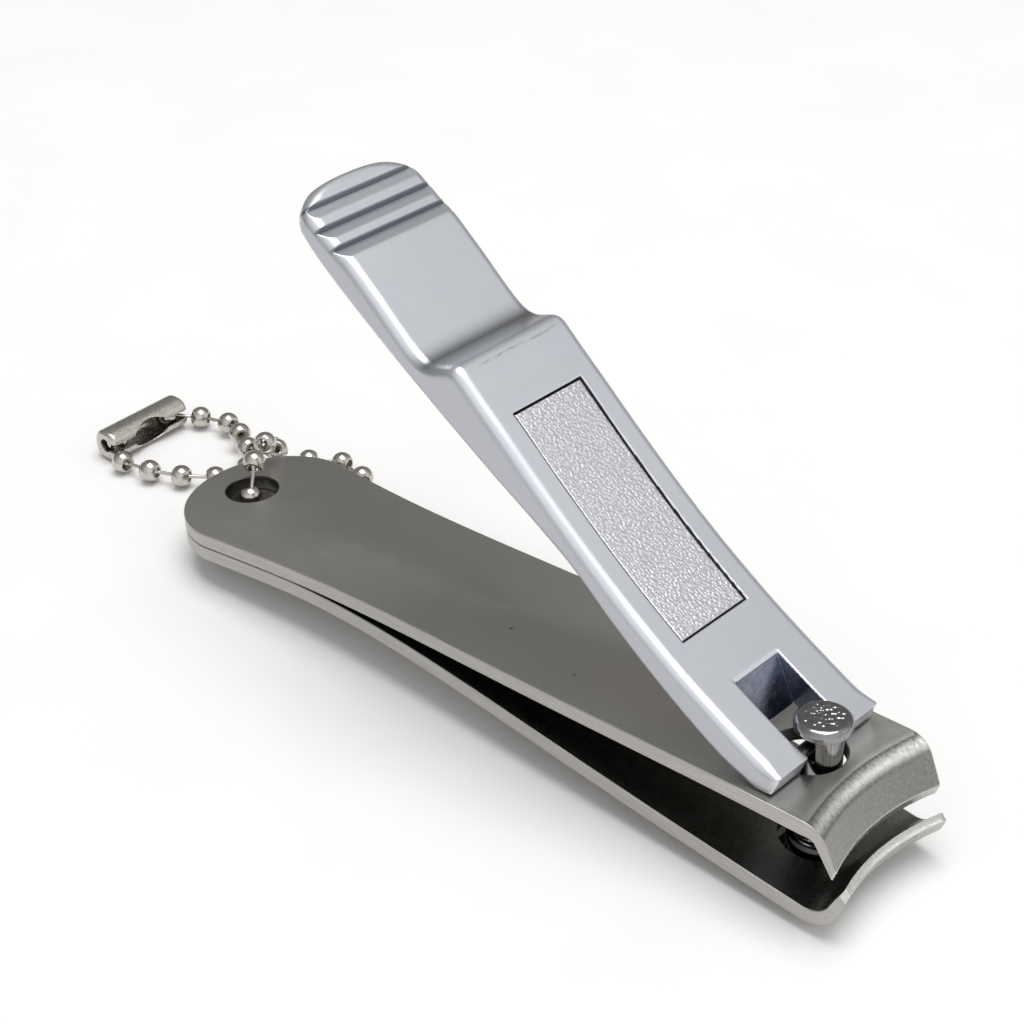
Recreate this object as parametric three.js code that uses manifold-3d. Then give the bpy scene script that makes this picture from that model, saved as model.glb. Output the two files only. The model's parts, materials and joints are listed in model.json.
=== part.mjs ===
// Nail clipper: two sprung stainless jaws joined at the rear, a swivelling post,
// a die-cast lever with an inlaid file, and a loop of ball chain with its connector.
// Millimetres, +Z up, +X towards the cutting edges. Rest pose: standing open on a
// flat surface at z = 0. The origin is where the post axis meets that surface.
// The clipper is drawn in a seam frame: rear end at x = 0, seam between the jaws at z = 0.
import * as THREE from 'three';
import { mergeVertices } from 'three/addons/utils/BufferGeometryUtils.js';
import Module from 'manifold-3d';

const wasm = await Module();
wasm.setup();

const RAD = Math.PI / 180;
const { clamp, lerp } = THREE.MathUtils;

// ---------------------------------------------------------------- placement
const SEAT_TILT = 4.9 * RAD;         // seam plane against the surface it stands on
const POST_TILT = 2.176 * RAD;       // post axis against the seam plane's normal
const POST_X = 76.96;                // post axis at the upper jaw's top face
const POST_Z = 0.468;

// cross pin through the post and the lever's fork, shared by all three pieces
const PIN_X = 76.44;
const PIN_Z = 2.03;
const PIN_RADIUS = 0.75;
const PIN_HALF_LENGTH = 4.1;
const PIN_CLEARANCE = 0.15;

// ---------------------------------------------------------------- geometry helpers
function solid(geometry) {
  const bare = geometry.clone();
  bare.deleteAttribute('normal');
  bare.deleteAttribute('uv');
  const merged = mergeVertices(bare, 1e-5);
  const index = merged.index.array;
  const triangles = [];
  for (let i = 0; i < index.length; i += 3) {
    const [a, b, c] = index.slice(i, i + 3);
    if (a !== b && b !== c && c !== a) triangles.push(a, b, c);
  }
  return new wasm.Manifold(new wasm.Mesh({
    numProp: 3,
    vertProperties: new Float32Array(merged.attributes.position.array),
    triVerts: new Uint32Array(triangles),
  }));
}

function geometryOf(manifold) {
  const mesh = manifold.getMesh();
  const positions = new Float32Array(mesh.numVert * 3);
  for (let i = 0; i < mesh.numVert; i++) {
    for (let k = 0; k < 3; k++) {
      positions[3 * i + k] = mesh.vertProperties[mesh.numProp * i + k];
    }
  }
  const geometry = new THREE.BufferGeometry();
  geometry.setAttribute('position', new THREE.BufferAttribute(positions, 3));
  geometry.setIndex(new THREE.BufferAttribute(new Uint32Array(mesh.triVerts), 1));
  geometry.computeVertexNormals();
  return geometry;
}

// a solid less each of the given closed geometries
function cut(body, ...cutters) {
  return cutters.reduce((rest, cutter) => rest.subtract(solid(cutter)), body);
}

// turns a geometry's Y axis to a unit direction and moves its origin to a point
function placeAlong(geometry, direction, centre) {
  const up = new THREE.Vector3(0, 1, 0);
  geometry.applyQuaternion(new THREE.Quaternion().setFromUnitVectors(up, direction));
  return geometry.translate(...centre.toArray());
}

// a cylinder from one point to another
function rod(from, to, radius, segments) {
  const start = new THREE.Vector3(...from);
  const end = new THREE.Vector3(...to);
  const length = start.distanceTo(end);
  const direction = end.clone().sub(start).normalize();
  const cylinder = new THREE.CylinderGeometry(radius, radius, length, segments, 1);
  return placeAlong(cylinder, direction, start.add(end).multiplyScalar(0.5));
}

function box(size, centre) {
  return new THREE.BoxGeometry(...size).translate(...centre);
}

// [radius, height] points turned about Y, outline running upwards on the outside
function turned(profile, segments) {
  return new THREE.LatheGeometry(profile.map((point) => new THREE.Vector2(...point)), segments);
}

// a closed outline in the X-Y plane, extruded up from z = 0
function extrude(outline, depth) {
  const shape = new THREE.Shape(outline.map((point) => new THREE.Vector2(...point)));
  return new THREE.ExtrudeGeometry(shape, { depth, bevelEnabled: false, curveSegments: 1 });
}

// a closed outline in the X-Z plane, extruded across Y to both sides of the middle
function extrudeAcross(outline, halfWidth) {
  return extrude(outline, 2 * halfWidth).rotateX(Math.PI / 2).translate(0, halfWidth, 0);
}

// ---------------------------------------------------------------- jaws
const PLATE_THICKNESS = 1.49;
const LIP_END_THICKNESS = 0.7;
const HALF_SEAM_GAP = 0.03;          // half of the gap between the two stacked sheets
const REAR_LENGTH = 8.48;            // length of the rounded rear end
const ARMS_PART_X = 17.29208;        // where the two arms part
const ARM_CURVE_LENGTH = 52;         // unit length of the arms' cubic curves
const CHAIN_HOLE_X = 5.54;
const CHAIN_HOLE_RADIUS = 2.7;
const POST_HOLE_RADIUS = 3.3;

// [x along the jaw, half width]
const JAW_WIDTHS = [[8.3, 9.15], [20.8, 8.19], [35.4, 7.97], [52.0, 8.15], [68.6, 8.0], [83.2, 7.93]];
const LIP_NARROWING = 0.05;          // share of the width lost towards the edge

// x stations of the flat sheet, up to the start of the lip's bend
const ARM_STATIONS = [0.12, 0.5, 1.2, 2.2, 3.5, 5.0, 6.7, 8.48, 12, 17.3, 22, 27, 33, 39, 45, 51,
  57, 63, 69, 74];
const BEND_STEPS = 6;
const LIP_STEPS = 3;
const BEND_TAPER = 0.35;             // share of the lip's thinning done within the bend
const WIDTH_STEPS = 14;

// concavity seen from above: x shift per y squared, fading in along the arm
const SAG_AT_BEND = 0.0173;
const SAG_AT_EDGE = 0.0245;
const SAG_START_X = 66;
const SAG_FADE_LENGTH = 13;

// side: +1 above the seam, -1 below; square and cube: coefficients of the inner face's curve;
// bendAngle: final dip of the lip; lipInner and lipOuter: lip lengths beyond the bend
const UPPER_JAW = {
  side: 1, square: -0.59488, cube: -0.156, postHoleX: 75.55,
  bendX: 79.6, bendRadius: 1.6, bendAngle: 66 * RAD, lipInner: 3.55, lipOuter: 2.85,
};
const LOWER_JAW = {
  side: -1, square: -10.9096, cube: 4.28064, postHoleX: 76.55,
  bendX: 79.7, bendRadius: 2.6, bendAngle: 58 * RAD, lipInner: 1.62, lipOuter: 1.3,
};

// natural cubic spline through [x, y] points
function naturalSpline(points) {
  const last = points.length - 1;
  const spans = [];
  const slopes = [];
  for (let i = 0; i < last; i++) {
    spans.push(points[i + 1][0] - points[i][0]);
    slopes.push((points[i + 1][1] - points[i][1]) / spans[i]);
  }
  // tridiagonal system for the square coefficients: forward sweep, then back
  const ratios = [0];
  const partials = [0];
  for (let i = 1; i < last; i++) {
    const before = spans[i - 1];
    const pivot = 2 * (before + spans[i]) - before * ratios[i - 1];
    ratios.push(spans[i] / pivot);
    partials.push((3 * (slopes[i] - slopes[i - 1]) - before * partials[i - 1]) / pivot);
  }
  const squares = new Array(last + 1).fill(0);
  for (let i = last - 1; i > 0; i--) squares[i] = partials[i] - ratios[i] * squares[i + 1];

  return (x) => {
    let i = 0;
    while (i < last - 1 && x > points[i + 1][0]) i++;
    const along = x - points[i][0];
    const linear = slopes[i] - spans[i] * (squares[i + 1] + 2 * squares[i]) / 3;
    const cubic = (squares[i + 1] - squares[i]) / (3 * spans[i]);
    return points[i][1] + along * (linear + along * (squares[i] + along * cubic));
  };
}

const armHalfWidth = naturalSpline(JAW_WIDTHS);

function jawHalfWidth(x) {
  if (x >= REAR_LENGTH) return armHalfWidth(x);
  const fromCentre = (REAR_LENGTH - x) / REAR_LENGTH;
  return JAW_WIDTHS[0][1] * Math.sqrt(Math.max(0, 1 - fromCentre ** 2));
}

// height of a jaw's inner face in the seam frame
function innerFace({ side, square, cube }, x) {
  const reach = Math.max(0, (x - ARMS_PART_X) / ARM_CURVE_LENGTH);
  return square * reach ** 2 + cube * reach ** 3 + side * HALF_SEAM_GAP;
}

// matched stations of the two faces: x, z, sheetX (x that sets width and sag)
// and lip (0 on the arm, rising to 1 at the edge)
function jawSection(spec) {
  const { side, bendX, bendRadius, bendAngle } = spec;
  const inner = [];
  const outer = [];
  for (const x of [...ARM_STATIONS, bendX]) {
    const z = innerFace(spec, x);
    inner.push({ x, z, sheetX: x, lip: 0 });
    outer.push({ x, z: z + side * PLATE_THICKNESS, sheetX: x, lip: 0 });
  }

  const bendZ = innerFace(spec, bendX);
  const slope = (bendZ - innerFace(spec, bendX - 0.5)) / 0.5;
  const startAngle = -side * Math.atan(slope);     // dip of the arm towards the other jaw
  const middleZ = bendZ + side * PLATE_THICKNESS / 2;
  // a point given by the dip there, the length past the bend and the offset off mid-sheet
  const lipPoint = (angle, along, offset, lip) => {
    const sin = Math.sin(angle);
    const cos = Math.cos(angle);
    const rise = -bendRadius * (Math.cos(startAngle) - cos) - along * sin + offset * cos;
    return {
      x: bendX + bendRadius * (sin - Math.sin(startAngle)) + along * cos + offset * sin,
      z: middleZ + side * rise,
      sheetX: bendX,
      lip,
    };
  };
  const halfThickness = (taper) => lerp(PLATE_THICKNESS, LIP_END_THICKNESS, taper) / 2;
  const steps = BEND_STEPS + LIP_STEPS;
  for (let i = 1; i <= BEND_STEPS; i++) {
    const angle = lerp(startAngle, bendAngle, i / BEND_STEPS);
    const half = halfThickness(BEND_TAPER * i / BEND_STEPS);
    inner.push(lipPoint(angle, 0, -half, i / steps));
    outer.push(lipPoint(angle, 0, half, i / steps));
  }
  for (let i = 1; i <= LIP_STEPS; i++) {
    const part = i / LIP_STEPS;
    const half = halfThickness(lerp(BEND_TAPER, 1, part));
    const lip = (BEND_STEPS + i) / steps;
    inner.push(lipPoint(bendAngle, spec.lipInner * part, -half, lip));
    outer.push(lipPoint(bendAngle, spec.lipOuter * part, half, lip));
  }
  return { inner, outer };
}

// a unit box bent onto the section's stations
function jawBlank(spec) {
  const { inner, outer } = jawSection(spec);
  const lengthSteps = inner.length - 1;
  const geometry = new THREE.BoxGeometry(1, 1, 1, lengthSteps, WIDTH_STEPS, 1);
  const position = geometry.attributes.position;
  for (let i = 0; i < position.count; i++) {
    const station = Math.round((position.getX(i) + 0.5) * lengthSteps);
    const isTop = position.getZ(i) > 0;
    const face = isTop === (spec.side > 0) ? outer : inner;
    const { x, z, sheetX, lip } = face[station];
    const y = position.getY(i) * 2 * jawHalfWidth(sheetX) * (1 - LIP_NARROWING * lip);
    const fade = clamp((sheetX - SAG_START_X) / SAG_FADE_LENGTH, 0, 1);
    const sag = lerp(SAG_AT_BEND, SAG_AT_EDGE, lip) * fade;
    position.setXYZ(i, x + sag * y * y, y, z);
  }
  return solid(geometry);
}

function jaw(spec) {
  const x = spec.postHoleX;
  return cut(
    jawBlank(spec),
    rod([CHAIN_HOLE_X, 0, -4], [CHAIN_HOLE_X, 0, 4], CHAIN_HOLE_RADIUS, 28),
    rod([x - 0.3, 0, -13], [x + 0.12, 0, 4], POST_HOLE_RADIUS, 32),
  );
}

const upperJaw = () => geometryOf(jaw(UPPER_JAW));

// the lower lip's corner on the -Y side is cut off at an angle
function lowerJaw() {
  const corner = new THREE.BoxGeometry(4, 4, 12).rotateZ(-50 * RAD).translate(85.55, -8.7, -9);
  return geometryOf(cut(jaw(LOWER_JAW), corner));
}

// ---------------------------------------------------------------- post and pin
// heights along the post axis, from the upper jaw's top face
const SHANK_RADIUS = 1.82;
const HEAD_RADIUS = 2.55;
const HEAD_TOP = 4.25;
const FOOT_RADIUS = 2.75;
const FOOT_TOP = -7.75;
const FLANGE_RADIUS = 3.9;
const FLANGE_TOP = -10.35;
const FOOT_BOTTOM = -11.0;
const NOTCH_DEPTH_PAST_PIN = 0.92;   // from the pin's axis forward to the notch's end wall

// [radius, height]
const POST_PROFILE = [
  [0, FOOT_BOTTOM],
  [2.9, FOOT_BOTTOM],
  [3.6, FOOT_BOTTOM + 0.12],
  [FLANGE_RADIUS, FOOT_BOTTOM + 0.38],
  [FLANGE_RADIUS, FLANGE_TOP],
  [FOOT_RADIUS, FLANGE_TOP],
  [FOOT_RADIUS, FOOT_TOP - 0.45],
  [FOOT_RADIUS - 0.35, FOOT_TOP - 0.12],
  [FOOT_RADIUS - 0.85, FOOT_TOP],
  [SHANK_RADIUS, FOOT_TOP],
  [SHANK_RADIUS, HEAD_TOP - 1.55],
  [HEAD_RADIUS - 0.12, HEAD_TOP - 1.25],
  [HEAD_RADIUS, HEAD_TOP - 1.0],
  [HEAD_RADIUS, HEAD_TOP - 0.4],
  [HEAD_RADIUS - 0.16, HEAD_TOP - 0.14],
  [HEAD_RADIUS - 0.5, HEAD_TOP],
  [0, HEAD_TOP],
];

function post() {
  const body = solid(turned(POST_PROFILE, 28).rotateX(Math.PI / 2));
  // the notch the cross pin sits in, open to the rear
  const length = 4;
  const notch = box(
    [length, 6, 2 * (PIN_RADIUS + PIN_CLEARANCE)],
    [PIN_X - POST_X + NOTCH_DEPTH_PAST_PIN - length / 2, 0, PIN_Z - POST_Z],
  );
  return geometryOf(cut(body, notch));
}

// a cylinder on the pin's axis, larger all round by the clearance
function pinRod(clearance, segments) {
  const half = PIN_HALF_LENGTH + clearance;
  return rod([PIN_X, -half, PIN_Z], [PIN_X, half, PIN_Z], PIN_RADIUS + clearance, segments);
}

// ---------------------------------------------------------------- lever and file
// [x, z] of the lever's upper line over the deck and the fork, running forward
const DECK = [
  [44.2, 28.964], [44.928, 28.288], [46.28, 26.936], [48.984, 24.336], [51.688, 21.684],
  [54.496, 19.032], [57.356, 16.432], [60.632, 13.624], [64.012, 10.972], [67.6, 8.372],
  [71.396, 5.928], [75.4, 3.536], [77.74, 2.444],
];
// [x, z] of the upper line from the thumb end forward: ribs, thumb pad, step, deck
const LEVER_TOP = [
  [24.3953, 40.3052], [24.8903, 40.5881], [25.5403, 40.3894], [26.3754, 39.6968],
  [26.2194, 39.1175], [27.4778, 38.8201], [28.157, 38.2262], [27.9874, 37.6605],
  [29.2885, 37.491], [29.9322, 36.9325], [29.7835, 36.4021], [31.226, 36.2606],
  [32.0039, 35.6803], [37.024, 30.992], [38.376, 29.744], [39.208, 29.0888],
  [40.144, 28.7664], [41.184, 28.7664], [42.224, 29.068], [43.16, 29.3072],
  [43.68, 29.2448], ...DECK,
];
// [x, z] of the lower line, from the fork tips back to the thumb end
const LEVER_BOTTOM = [
  [77.012, 0.7488], [76.544, 0.6448], [75.816, 0.624], [74.672, 0.78], [71.656, 2.132],
  [67.808, 4.6488], [63.856, 7.072], [60.216, 10.608], [56.888, 13.936], [55.224, 15.08],
  [51.48, 17.628], [47.632, 20.176], [43.888, 22.776], [40.144, 25.428], [36.4, 28.1528],
  [32.76, 30.94], [29.328, 33.696], [27.456, 35.36], [25.896, 37.024], [24.752, 38.48],
  [24.388, 39.728],
];
// [x, z] of the fork slot: sloping rear wall, open to the front
const FORK_SLOT = [
  [69.576, 8.528], [70.044, 6.812], [72.176, 1.456], [72.176, -2.08], [83.2, -2.08],
  [83.2, 8.528],
];
const FORK_SLOT_HALF_WIDTH = 2.9;

// plan outline square to the thumb pad; positions along the pad are (z - x) / sqrt(2)
const THUMB_TIP = 11.648;
const THUMB_ROUND_LENGTH = 3.848;
const THUMB_HALF_WIDTH = 7.02;
const PLAN_FRONT = -58.24;           // past the fork tips
const PLAN_FRONT_HALF_WIDTH = 7.2475;

const RECESS_START_X = 47.84;
const RECESS_END_X = 65.884;
const RECESS_HALF_WIDTH = 4.33;
const FILE_END_GAP = 0.1248;         // in x, at each end of the recess
const FILE_SIDE_GAP = 0.14;

const deckCurve = new THREE.CatmullRomCurve3(DECK.map(([x, z]) => new THREE.Vector3(x, 0, z)));
const deckSamples = deckCurve.getPoints(260);

// a band that follows the deck between two x stations; bottom and top are offsets square to it
function deckBand({ startX, endX, bottom, top }) {
  const steps = 9;
  const low = [];
  const high = [];
  for (let i = 0; i <= steps; i++) {
    const x = lerp(startX, endX, i / steps);
    let j = 1;
    while (j < deckSamples.length - 2 && deckSamples[j].x < x) j++;
    const before = deckSamples[j - 1];
    const here = deckSamples[j];
    const tangent = deckSamples[j + 1].clone().sub(before).normalize();
    const point = before.clone().lerp(here, (x - before.x) / (here.x - before.x));
    const offsetBy = (distance) => [point.x - tangent.z * distance, point.z + tangent.x * distance];
    low.push(offsetBy(bottom));
    high.push(offsetBy(top));
  }
  return [...low, ...high.reverse()];
}

// rounded thumb end and straight tapering sides, as a prism square to the thumb pad
function leverPlan() {
  const plan = [];
  const steps = 24;
  for (let i = 0; i <= steps; i++) {
    const angle = (-90 + 180 * i / steps) * RAD;
    plan.push([
      THUMB_TIP - THUMB_ROUND_LENGTH + THUMB_ROUND_LENGTH * Math.cos(angle),
      THUMB_HALF_WIDTH * Math.sin(angle),
    ]);
  }
  plan.push([PLAN_FRONT, PLAN_FRONT_HALF_WIDTH], [PLAN_FRONT, -PLAN_FRONT_HALF_WIDTH]);
  // local x runs along the pad (up and back), local z square to it (up and forward)
  const diagonal = Math.SQRT1_2;
  const basis = new THREE.Matrix4().makeBasis(
    new THREE.Vector3(-diagonal, 0, diagonal),
    new THREE.Vector3(0, -1, 0),
    new THREE.Vector3(diagonal, 0, diagonal),
  );
  return extrude(plan, 55).translate(0, 0, 20).applyMatrix4(basis);
}

function lever() {
  const side = solid(extrudeAcross([...LEVER_TOP, ...LEVER_BOTTOM], 9));
  const recess = deckBand({ startX: RECESS_START_X, endX: RECESS_END_X, bottom: -0.75, top: 1.2 });
  return geometryOf(cut(
    side.intersect(solid(leverPlan())),
    extrudeAcross(recess, RECESS_HALF_WIDTH),
    extrudeAcross(FORK_SLOT, FORK_SLOT_HALF_WIDTH),
    pinRod(PIN_CLEARANCE, 24),
  ));
}

function nailFile() {
  const band = deckBand({
    startX: RECESS_START_X + FILE_END_GAP,
    endX: RECESS_END_X - FILE_END_GAP,
    bottom: -0.6,
    top: -0.08,
  });
  return geometryOf(solid(extrudeAcross(band, RECESS_HALF_WIDTH - FILE_SIDE_GAP)));
}

// ---------------------------------------------------------------- ball chain
const BEAD_RADIUS = 1.2;
const BEAD_BORE_RADIUS = 0.8;
const WIRE_RADIUS = 0.22;
const WIRE_INSET = 0.3;              // from a bead's centre to the link's end
const CONNECTOR_RADIUS = 1.72;
const CONNECTOR_WALL = 0.28;
const CONNECTOR_OVERHANG = 1.62;     // from an end bead's centre to the connector's end

// [x, y, z] of the bead centres in the model frame, from one end bead in the connector, over
// the rear end, down through the chain hole, under the jaws and round to the other end
const BEADS = [
  [-95.216, 8.048, 1.720], [-92.737, 10.702, 1.198], [-89.240, 11.745, 1.419],
  [-85.849, 10.503, 2.025], [-82.612, 8.823, 2.352], [-79.203, 9.492, 3.525],
  [-76.507, 7.663, 5.210], [-75.375, 5.162, 7.647], [-73.547, 2.021, 7.561],
  [-72.028, -0.043, 4.898], [-69.904, 0.517, 1.829], [-66.580, 1.901, 1.190],
  [-64.971, 5.200, 1.200], [-66.003, 8.725, 1.200], [-68.287, 11.601, 1.200],
  [-70.656, 14.407, 1.201], [-74.285, 14.890, 1.200], [-77.283, 12.792, 1.200],
  [-78.073, 9.216, 1.200], [-81.060, 7.103, 1.199], [-82.061, 3.586, 1.202],
  [-84.895, 1.266, 1.199], [-88.172, -0.392, 1.200], [-91.755, -1.202, 1.201],
  [-94.936, 0.553, 1.720],
].map((point) => new THREE.Vector3(...point));

const directionTo = (from, to) => to.clone().sub(from).normalize();

// a sphere with a through bore, lined up with its neighbours
function bead(i) {
  const centre = BEADS[i];
  const previous = BEADS[i - 1] && directionTo(centre, BEADS[i - 1]);
  const next = BEADS[i + 1] && directionTo(centre, BEADS[i + 1]);
  const axis = previous && next ? next.clone().sub(previous).normalize() : next || previous;

  const boreAngle = Math.asin(BEAD_BORE_RADIUS / BEAD_RADIUS);
  const steps = 6;
  const profile = [];
  for (let k = 0; k <= steps; k++) {
    const angle = lerp(boreAngle, Math.PI - boreAngle, k / steps);
    profile.push([BEAD_RADIUS * Math.sin(angle), -BEAD_RADIUS * Math.cos(angle)]);
  }
  profile.push(profile[0]);          // back down along the bore
  return placeAlong(geometryOf(solid(turned(profile, 10))), axis, centre);
}

function link(i) {
  const direction = directionTo(BEADS[i], BEADS[i + 1]);
  const start = BEADS[i].clone().addScaledVector(direction, WIRE_INSET);
  const end = BEADS[i + 1].clone().addScaledVector(direction, -WIRE_INSET);
  return rod(start.toArray(), end.toArray(), WIRE_RADIUS, 6);
}

// a turned body with two like ends, from [radius, inset from the end] points of one end
function turnedBothEnds(endProfile, halfLength) {
  const lower = endProfile.map(([radius, inset]) => [radius, inset - halfLength]);
  const upper = lower.map(([radius, y]) => [radius, -y]).reverse();
  return turned([...lower, ...upper], 20);
}

// tube with narrowed ends, along local Y
function connector() {
  const start = BEADS[BEADS.length - 1];
  const end = BEADS[0];
  const half = start.distanceTo(end) / 2 + CONNECTOR_OVERHANG;
  const radius = CONNECTOR_RADIUS;
  const wall = CONNECTOR_WALL;
  const outside = [[0, 0], [0.9, 0], [radius - 0.25, 0.3], [radius, 0.9]];
  const inside = [[0, wall], [0.85, wall], [radius - wall - 0.08, 0.6], [radius - wall, 0.95]];
  const openingZ = 0.1;
  const tube = cut(
    solid(turnedBothEnds(outside, half)),
    turnedBothEnds(inside, half),
    // side opening (local +X) for the beads, and the wire slot out to both ends
    box([3, 4.2, 2.5], [1.9, 0, openingZ]),
    box([3.4, 2 * half + 2, 1.3], [1.6, 0, openingZ]),
    // wire holes in the two ends
    rod([0, -half - 1, openingZ], [0, -half + 1, openingZ], 0.65, 12),
    rod([0, half + 1, openingZ], [0, half - 1, openingZ], 0.65, 12),
  );
  const middle = start.clone().add(end).multiplyScalar(0.5);
  return placeAlong(geometryOf(tube), directionTo(start, end), middle);
}

// ---------------------------------------------------------------- materials
function metal({ color, roughness, metalness = 1 }) {
  return new THREE.MeshStandardMaterial({ color, roughness, metalness });
}

const MATERIALS = {
  lowerJaw: metal({ color: 0x8f8c85, roughness: 0.38 }),
  upperJaw: metal({ color: 0x8a8780, roughness: 0.38 }),
  post: metal({ color: 0x9a9a9e, roughness: 0.12 }),
  pin: metal({ color: 0xa0a0a4, roughness: 0.2 }),
  lever: metal({ color: 0xbfc3cb, roughness: 0.4, metalness: 0.9 }),
  file: metal({ color: 0xb3b1b8, roughness: 0.55, metalness: 0.8 }),
  bead: metal({ color: 0xb9b4a8, roughness: 0.16 }),
  link: metal({ color: 0xb0aa9c, roughness: 0.25 }),
  connector: metal({ color: 0xa8a294, roughness: 0.28 }),
};

// ---------------------------------------------------------------- assembly
const root = new THREE.Group();

const seamFrame = new THREE.Group();
seamFrame.rotation.y = -SEAT_TILT;
root.add(seamFrame);

const postFrame = new THREE.Group();   // the post's axis is local Z
postFrame.position.set(POST_X, 0, POST_Z);
postFrame.rotation.y = POST_TILT;
seamFrame.add(postFrame);

function add(group, name, geometry, material) {
  const mesh = new THREE.Mesh(geometry, material);
  mesh.name = name;
  group.add(mesh);
}

const numbered = (name, i) => `${name}_${String(i + 1).padStart(2, '0')}`;

add(seamFrame, 'lower_jaw', lowerJaw(), MATERIALS.lowerJaw);
add(seamFrame, 'upper_jaw', upperJaw(), MATERIALS.upperJaw);
add(postFrame, 'post', post(), MATERIALS.post);
add(seamFrame, 'cross_pin', pinRod(0, 20), MATERIALS.pin);
add(seamFrame, 'lever', lever(), MATERIALS.lever);
add(seamFrame, 'nail_file', nailFile(), MATERIALS.file);
for (let i = 0; i < BEADS.length; i++) {
  add(root, numbered('chain_bead', i), bead(i), MATERIALS.bead);
}
for (let i = 0; i < BEADS.length - 1; i++) {
  add(root, numbered('chain_link', i), link(i), MATERIALS.link);
}
add(root, 'chain_connector', connector(), MATERIALS.connector);

// move the clipper so that the middle of the post's foot is at the origin
root.updateMatrixWorld(true);
const foot = new THREE.Vector3(0, 0, FOOT_BOTTOM).applyMatrix4(postFrame.matrixWorld);
seamFrame.position.set(-foot.x, 0, -foot.z);

export default root;
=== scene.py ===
import json
import math

import bpy
import numpy as np
from mathutils import Matrix, Vector
from mathutils.geometry import delaunay_2d_cdt


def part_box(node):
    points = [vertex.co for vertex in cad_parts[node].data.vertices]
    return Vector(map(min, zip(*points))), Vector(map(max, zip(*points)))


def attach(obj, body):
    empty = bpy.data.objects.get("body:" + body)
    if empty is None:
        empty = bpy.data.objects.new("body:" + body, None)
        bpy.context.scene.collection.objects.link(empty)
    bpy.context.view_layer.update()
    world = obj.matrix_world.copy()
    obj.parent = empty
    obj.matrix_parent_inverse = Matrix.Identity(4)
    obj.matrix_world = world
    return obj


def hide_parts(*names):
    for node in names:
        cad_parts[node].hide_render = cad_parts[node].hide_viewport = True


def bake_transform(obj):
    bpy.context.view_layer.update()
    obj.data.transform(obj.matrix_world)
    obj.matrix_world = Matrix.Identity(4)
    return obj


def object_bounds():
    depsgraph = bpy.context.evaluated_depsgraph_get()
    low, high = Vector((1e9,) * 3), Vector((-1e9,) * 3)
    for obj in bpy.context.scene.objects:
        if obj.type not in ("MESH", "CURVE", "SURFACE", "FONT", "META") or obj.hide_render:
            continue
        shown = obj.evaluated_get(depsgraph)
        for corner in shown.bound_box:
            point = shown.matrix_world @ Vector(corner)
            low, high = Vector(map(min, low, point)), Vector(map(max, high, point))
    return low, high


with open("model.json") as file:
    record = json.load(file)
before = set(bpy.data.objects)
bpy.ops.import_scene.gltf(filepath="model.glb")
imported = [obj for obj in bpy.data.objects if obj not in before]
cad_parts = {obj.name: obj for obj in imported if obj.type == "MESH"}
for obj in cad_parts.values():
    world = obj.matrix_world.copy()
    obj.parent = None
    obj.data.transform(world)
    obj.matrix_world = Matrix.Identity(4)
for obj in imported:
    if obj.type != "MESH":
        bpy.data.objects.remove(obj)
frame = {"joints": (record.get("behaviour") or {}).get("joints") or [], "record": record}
CAD_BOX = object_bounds()
JOINT = {joint["name"]: joint for joint in frame["joints"]}
BODY = {
    node: body
    for body, nodes in frame["record"]["behaviour"]["bodies"].items()
    for node in nodes
}
DEG = math.pi / 180
ROOT_HALF = math.sqrt(0.5)

# ------------------------------------------------------------------ sizes shared by pieces
SCALE = 1.04                # the jaw curve and the lever tables are drawn at 1/1.04 of full size
HINGE_X = 17.8              # jaw hinge, in the seam frame
PLATE_T = 1.49              # thickness of a jaw sheet
PIN_X, PIN_Z = 76.44, 2.03  # cross pin axis, in the seam frame
PIN_R = 0.52
PIN_HALF = 4.1              # half of the pin's length

# ------------------------------------------------------------------ frames
TILT = 4.9 * DEG
SEAM_TURN = np.array([
    [math.cos(TILT), 0, -math.sin(TILT)],
    [0, 1, 0],
    [math.sin(TILT), 0, math.cos(TILT)],
])
SEAM_ORIGIN = np.array(JOINT["jaw_squeeze"]["pos_m"]) * 1000 - SEAM_TURN @ np.array([HINGE_X, 0, 0])


def to_row(points):
    """Seam-frame millimetres to row-frame metres."""
    return (np.asarray(points, float) @ SEAM_TURN.T + SEAM_ORIGIN) / 1000


def unit(v):
    v = np.asarray(v, float)
    return v / np.maximum(np.linalg.norm(v, axis=-1, keepdims=True), 1e-12)


def lever_ab(x, z):
    """Seam-frame x and z to the lever frame's a and b."""
    return (z - x) * ROOT_HALF, (x + z) * ROOT_HALF


def lever_to_seam(v):
    """Points or directions (a, y, b) to the seam frame."""
    return np.stack([(v[:, 2] - v[:, 0]) * ROOT_HALF, v[:, 1], (v[:, 0] + v[:, 2]) * ROOT_HALF], 1)


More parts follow.
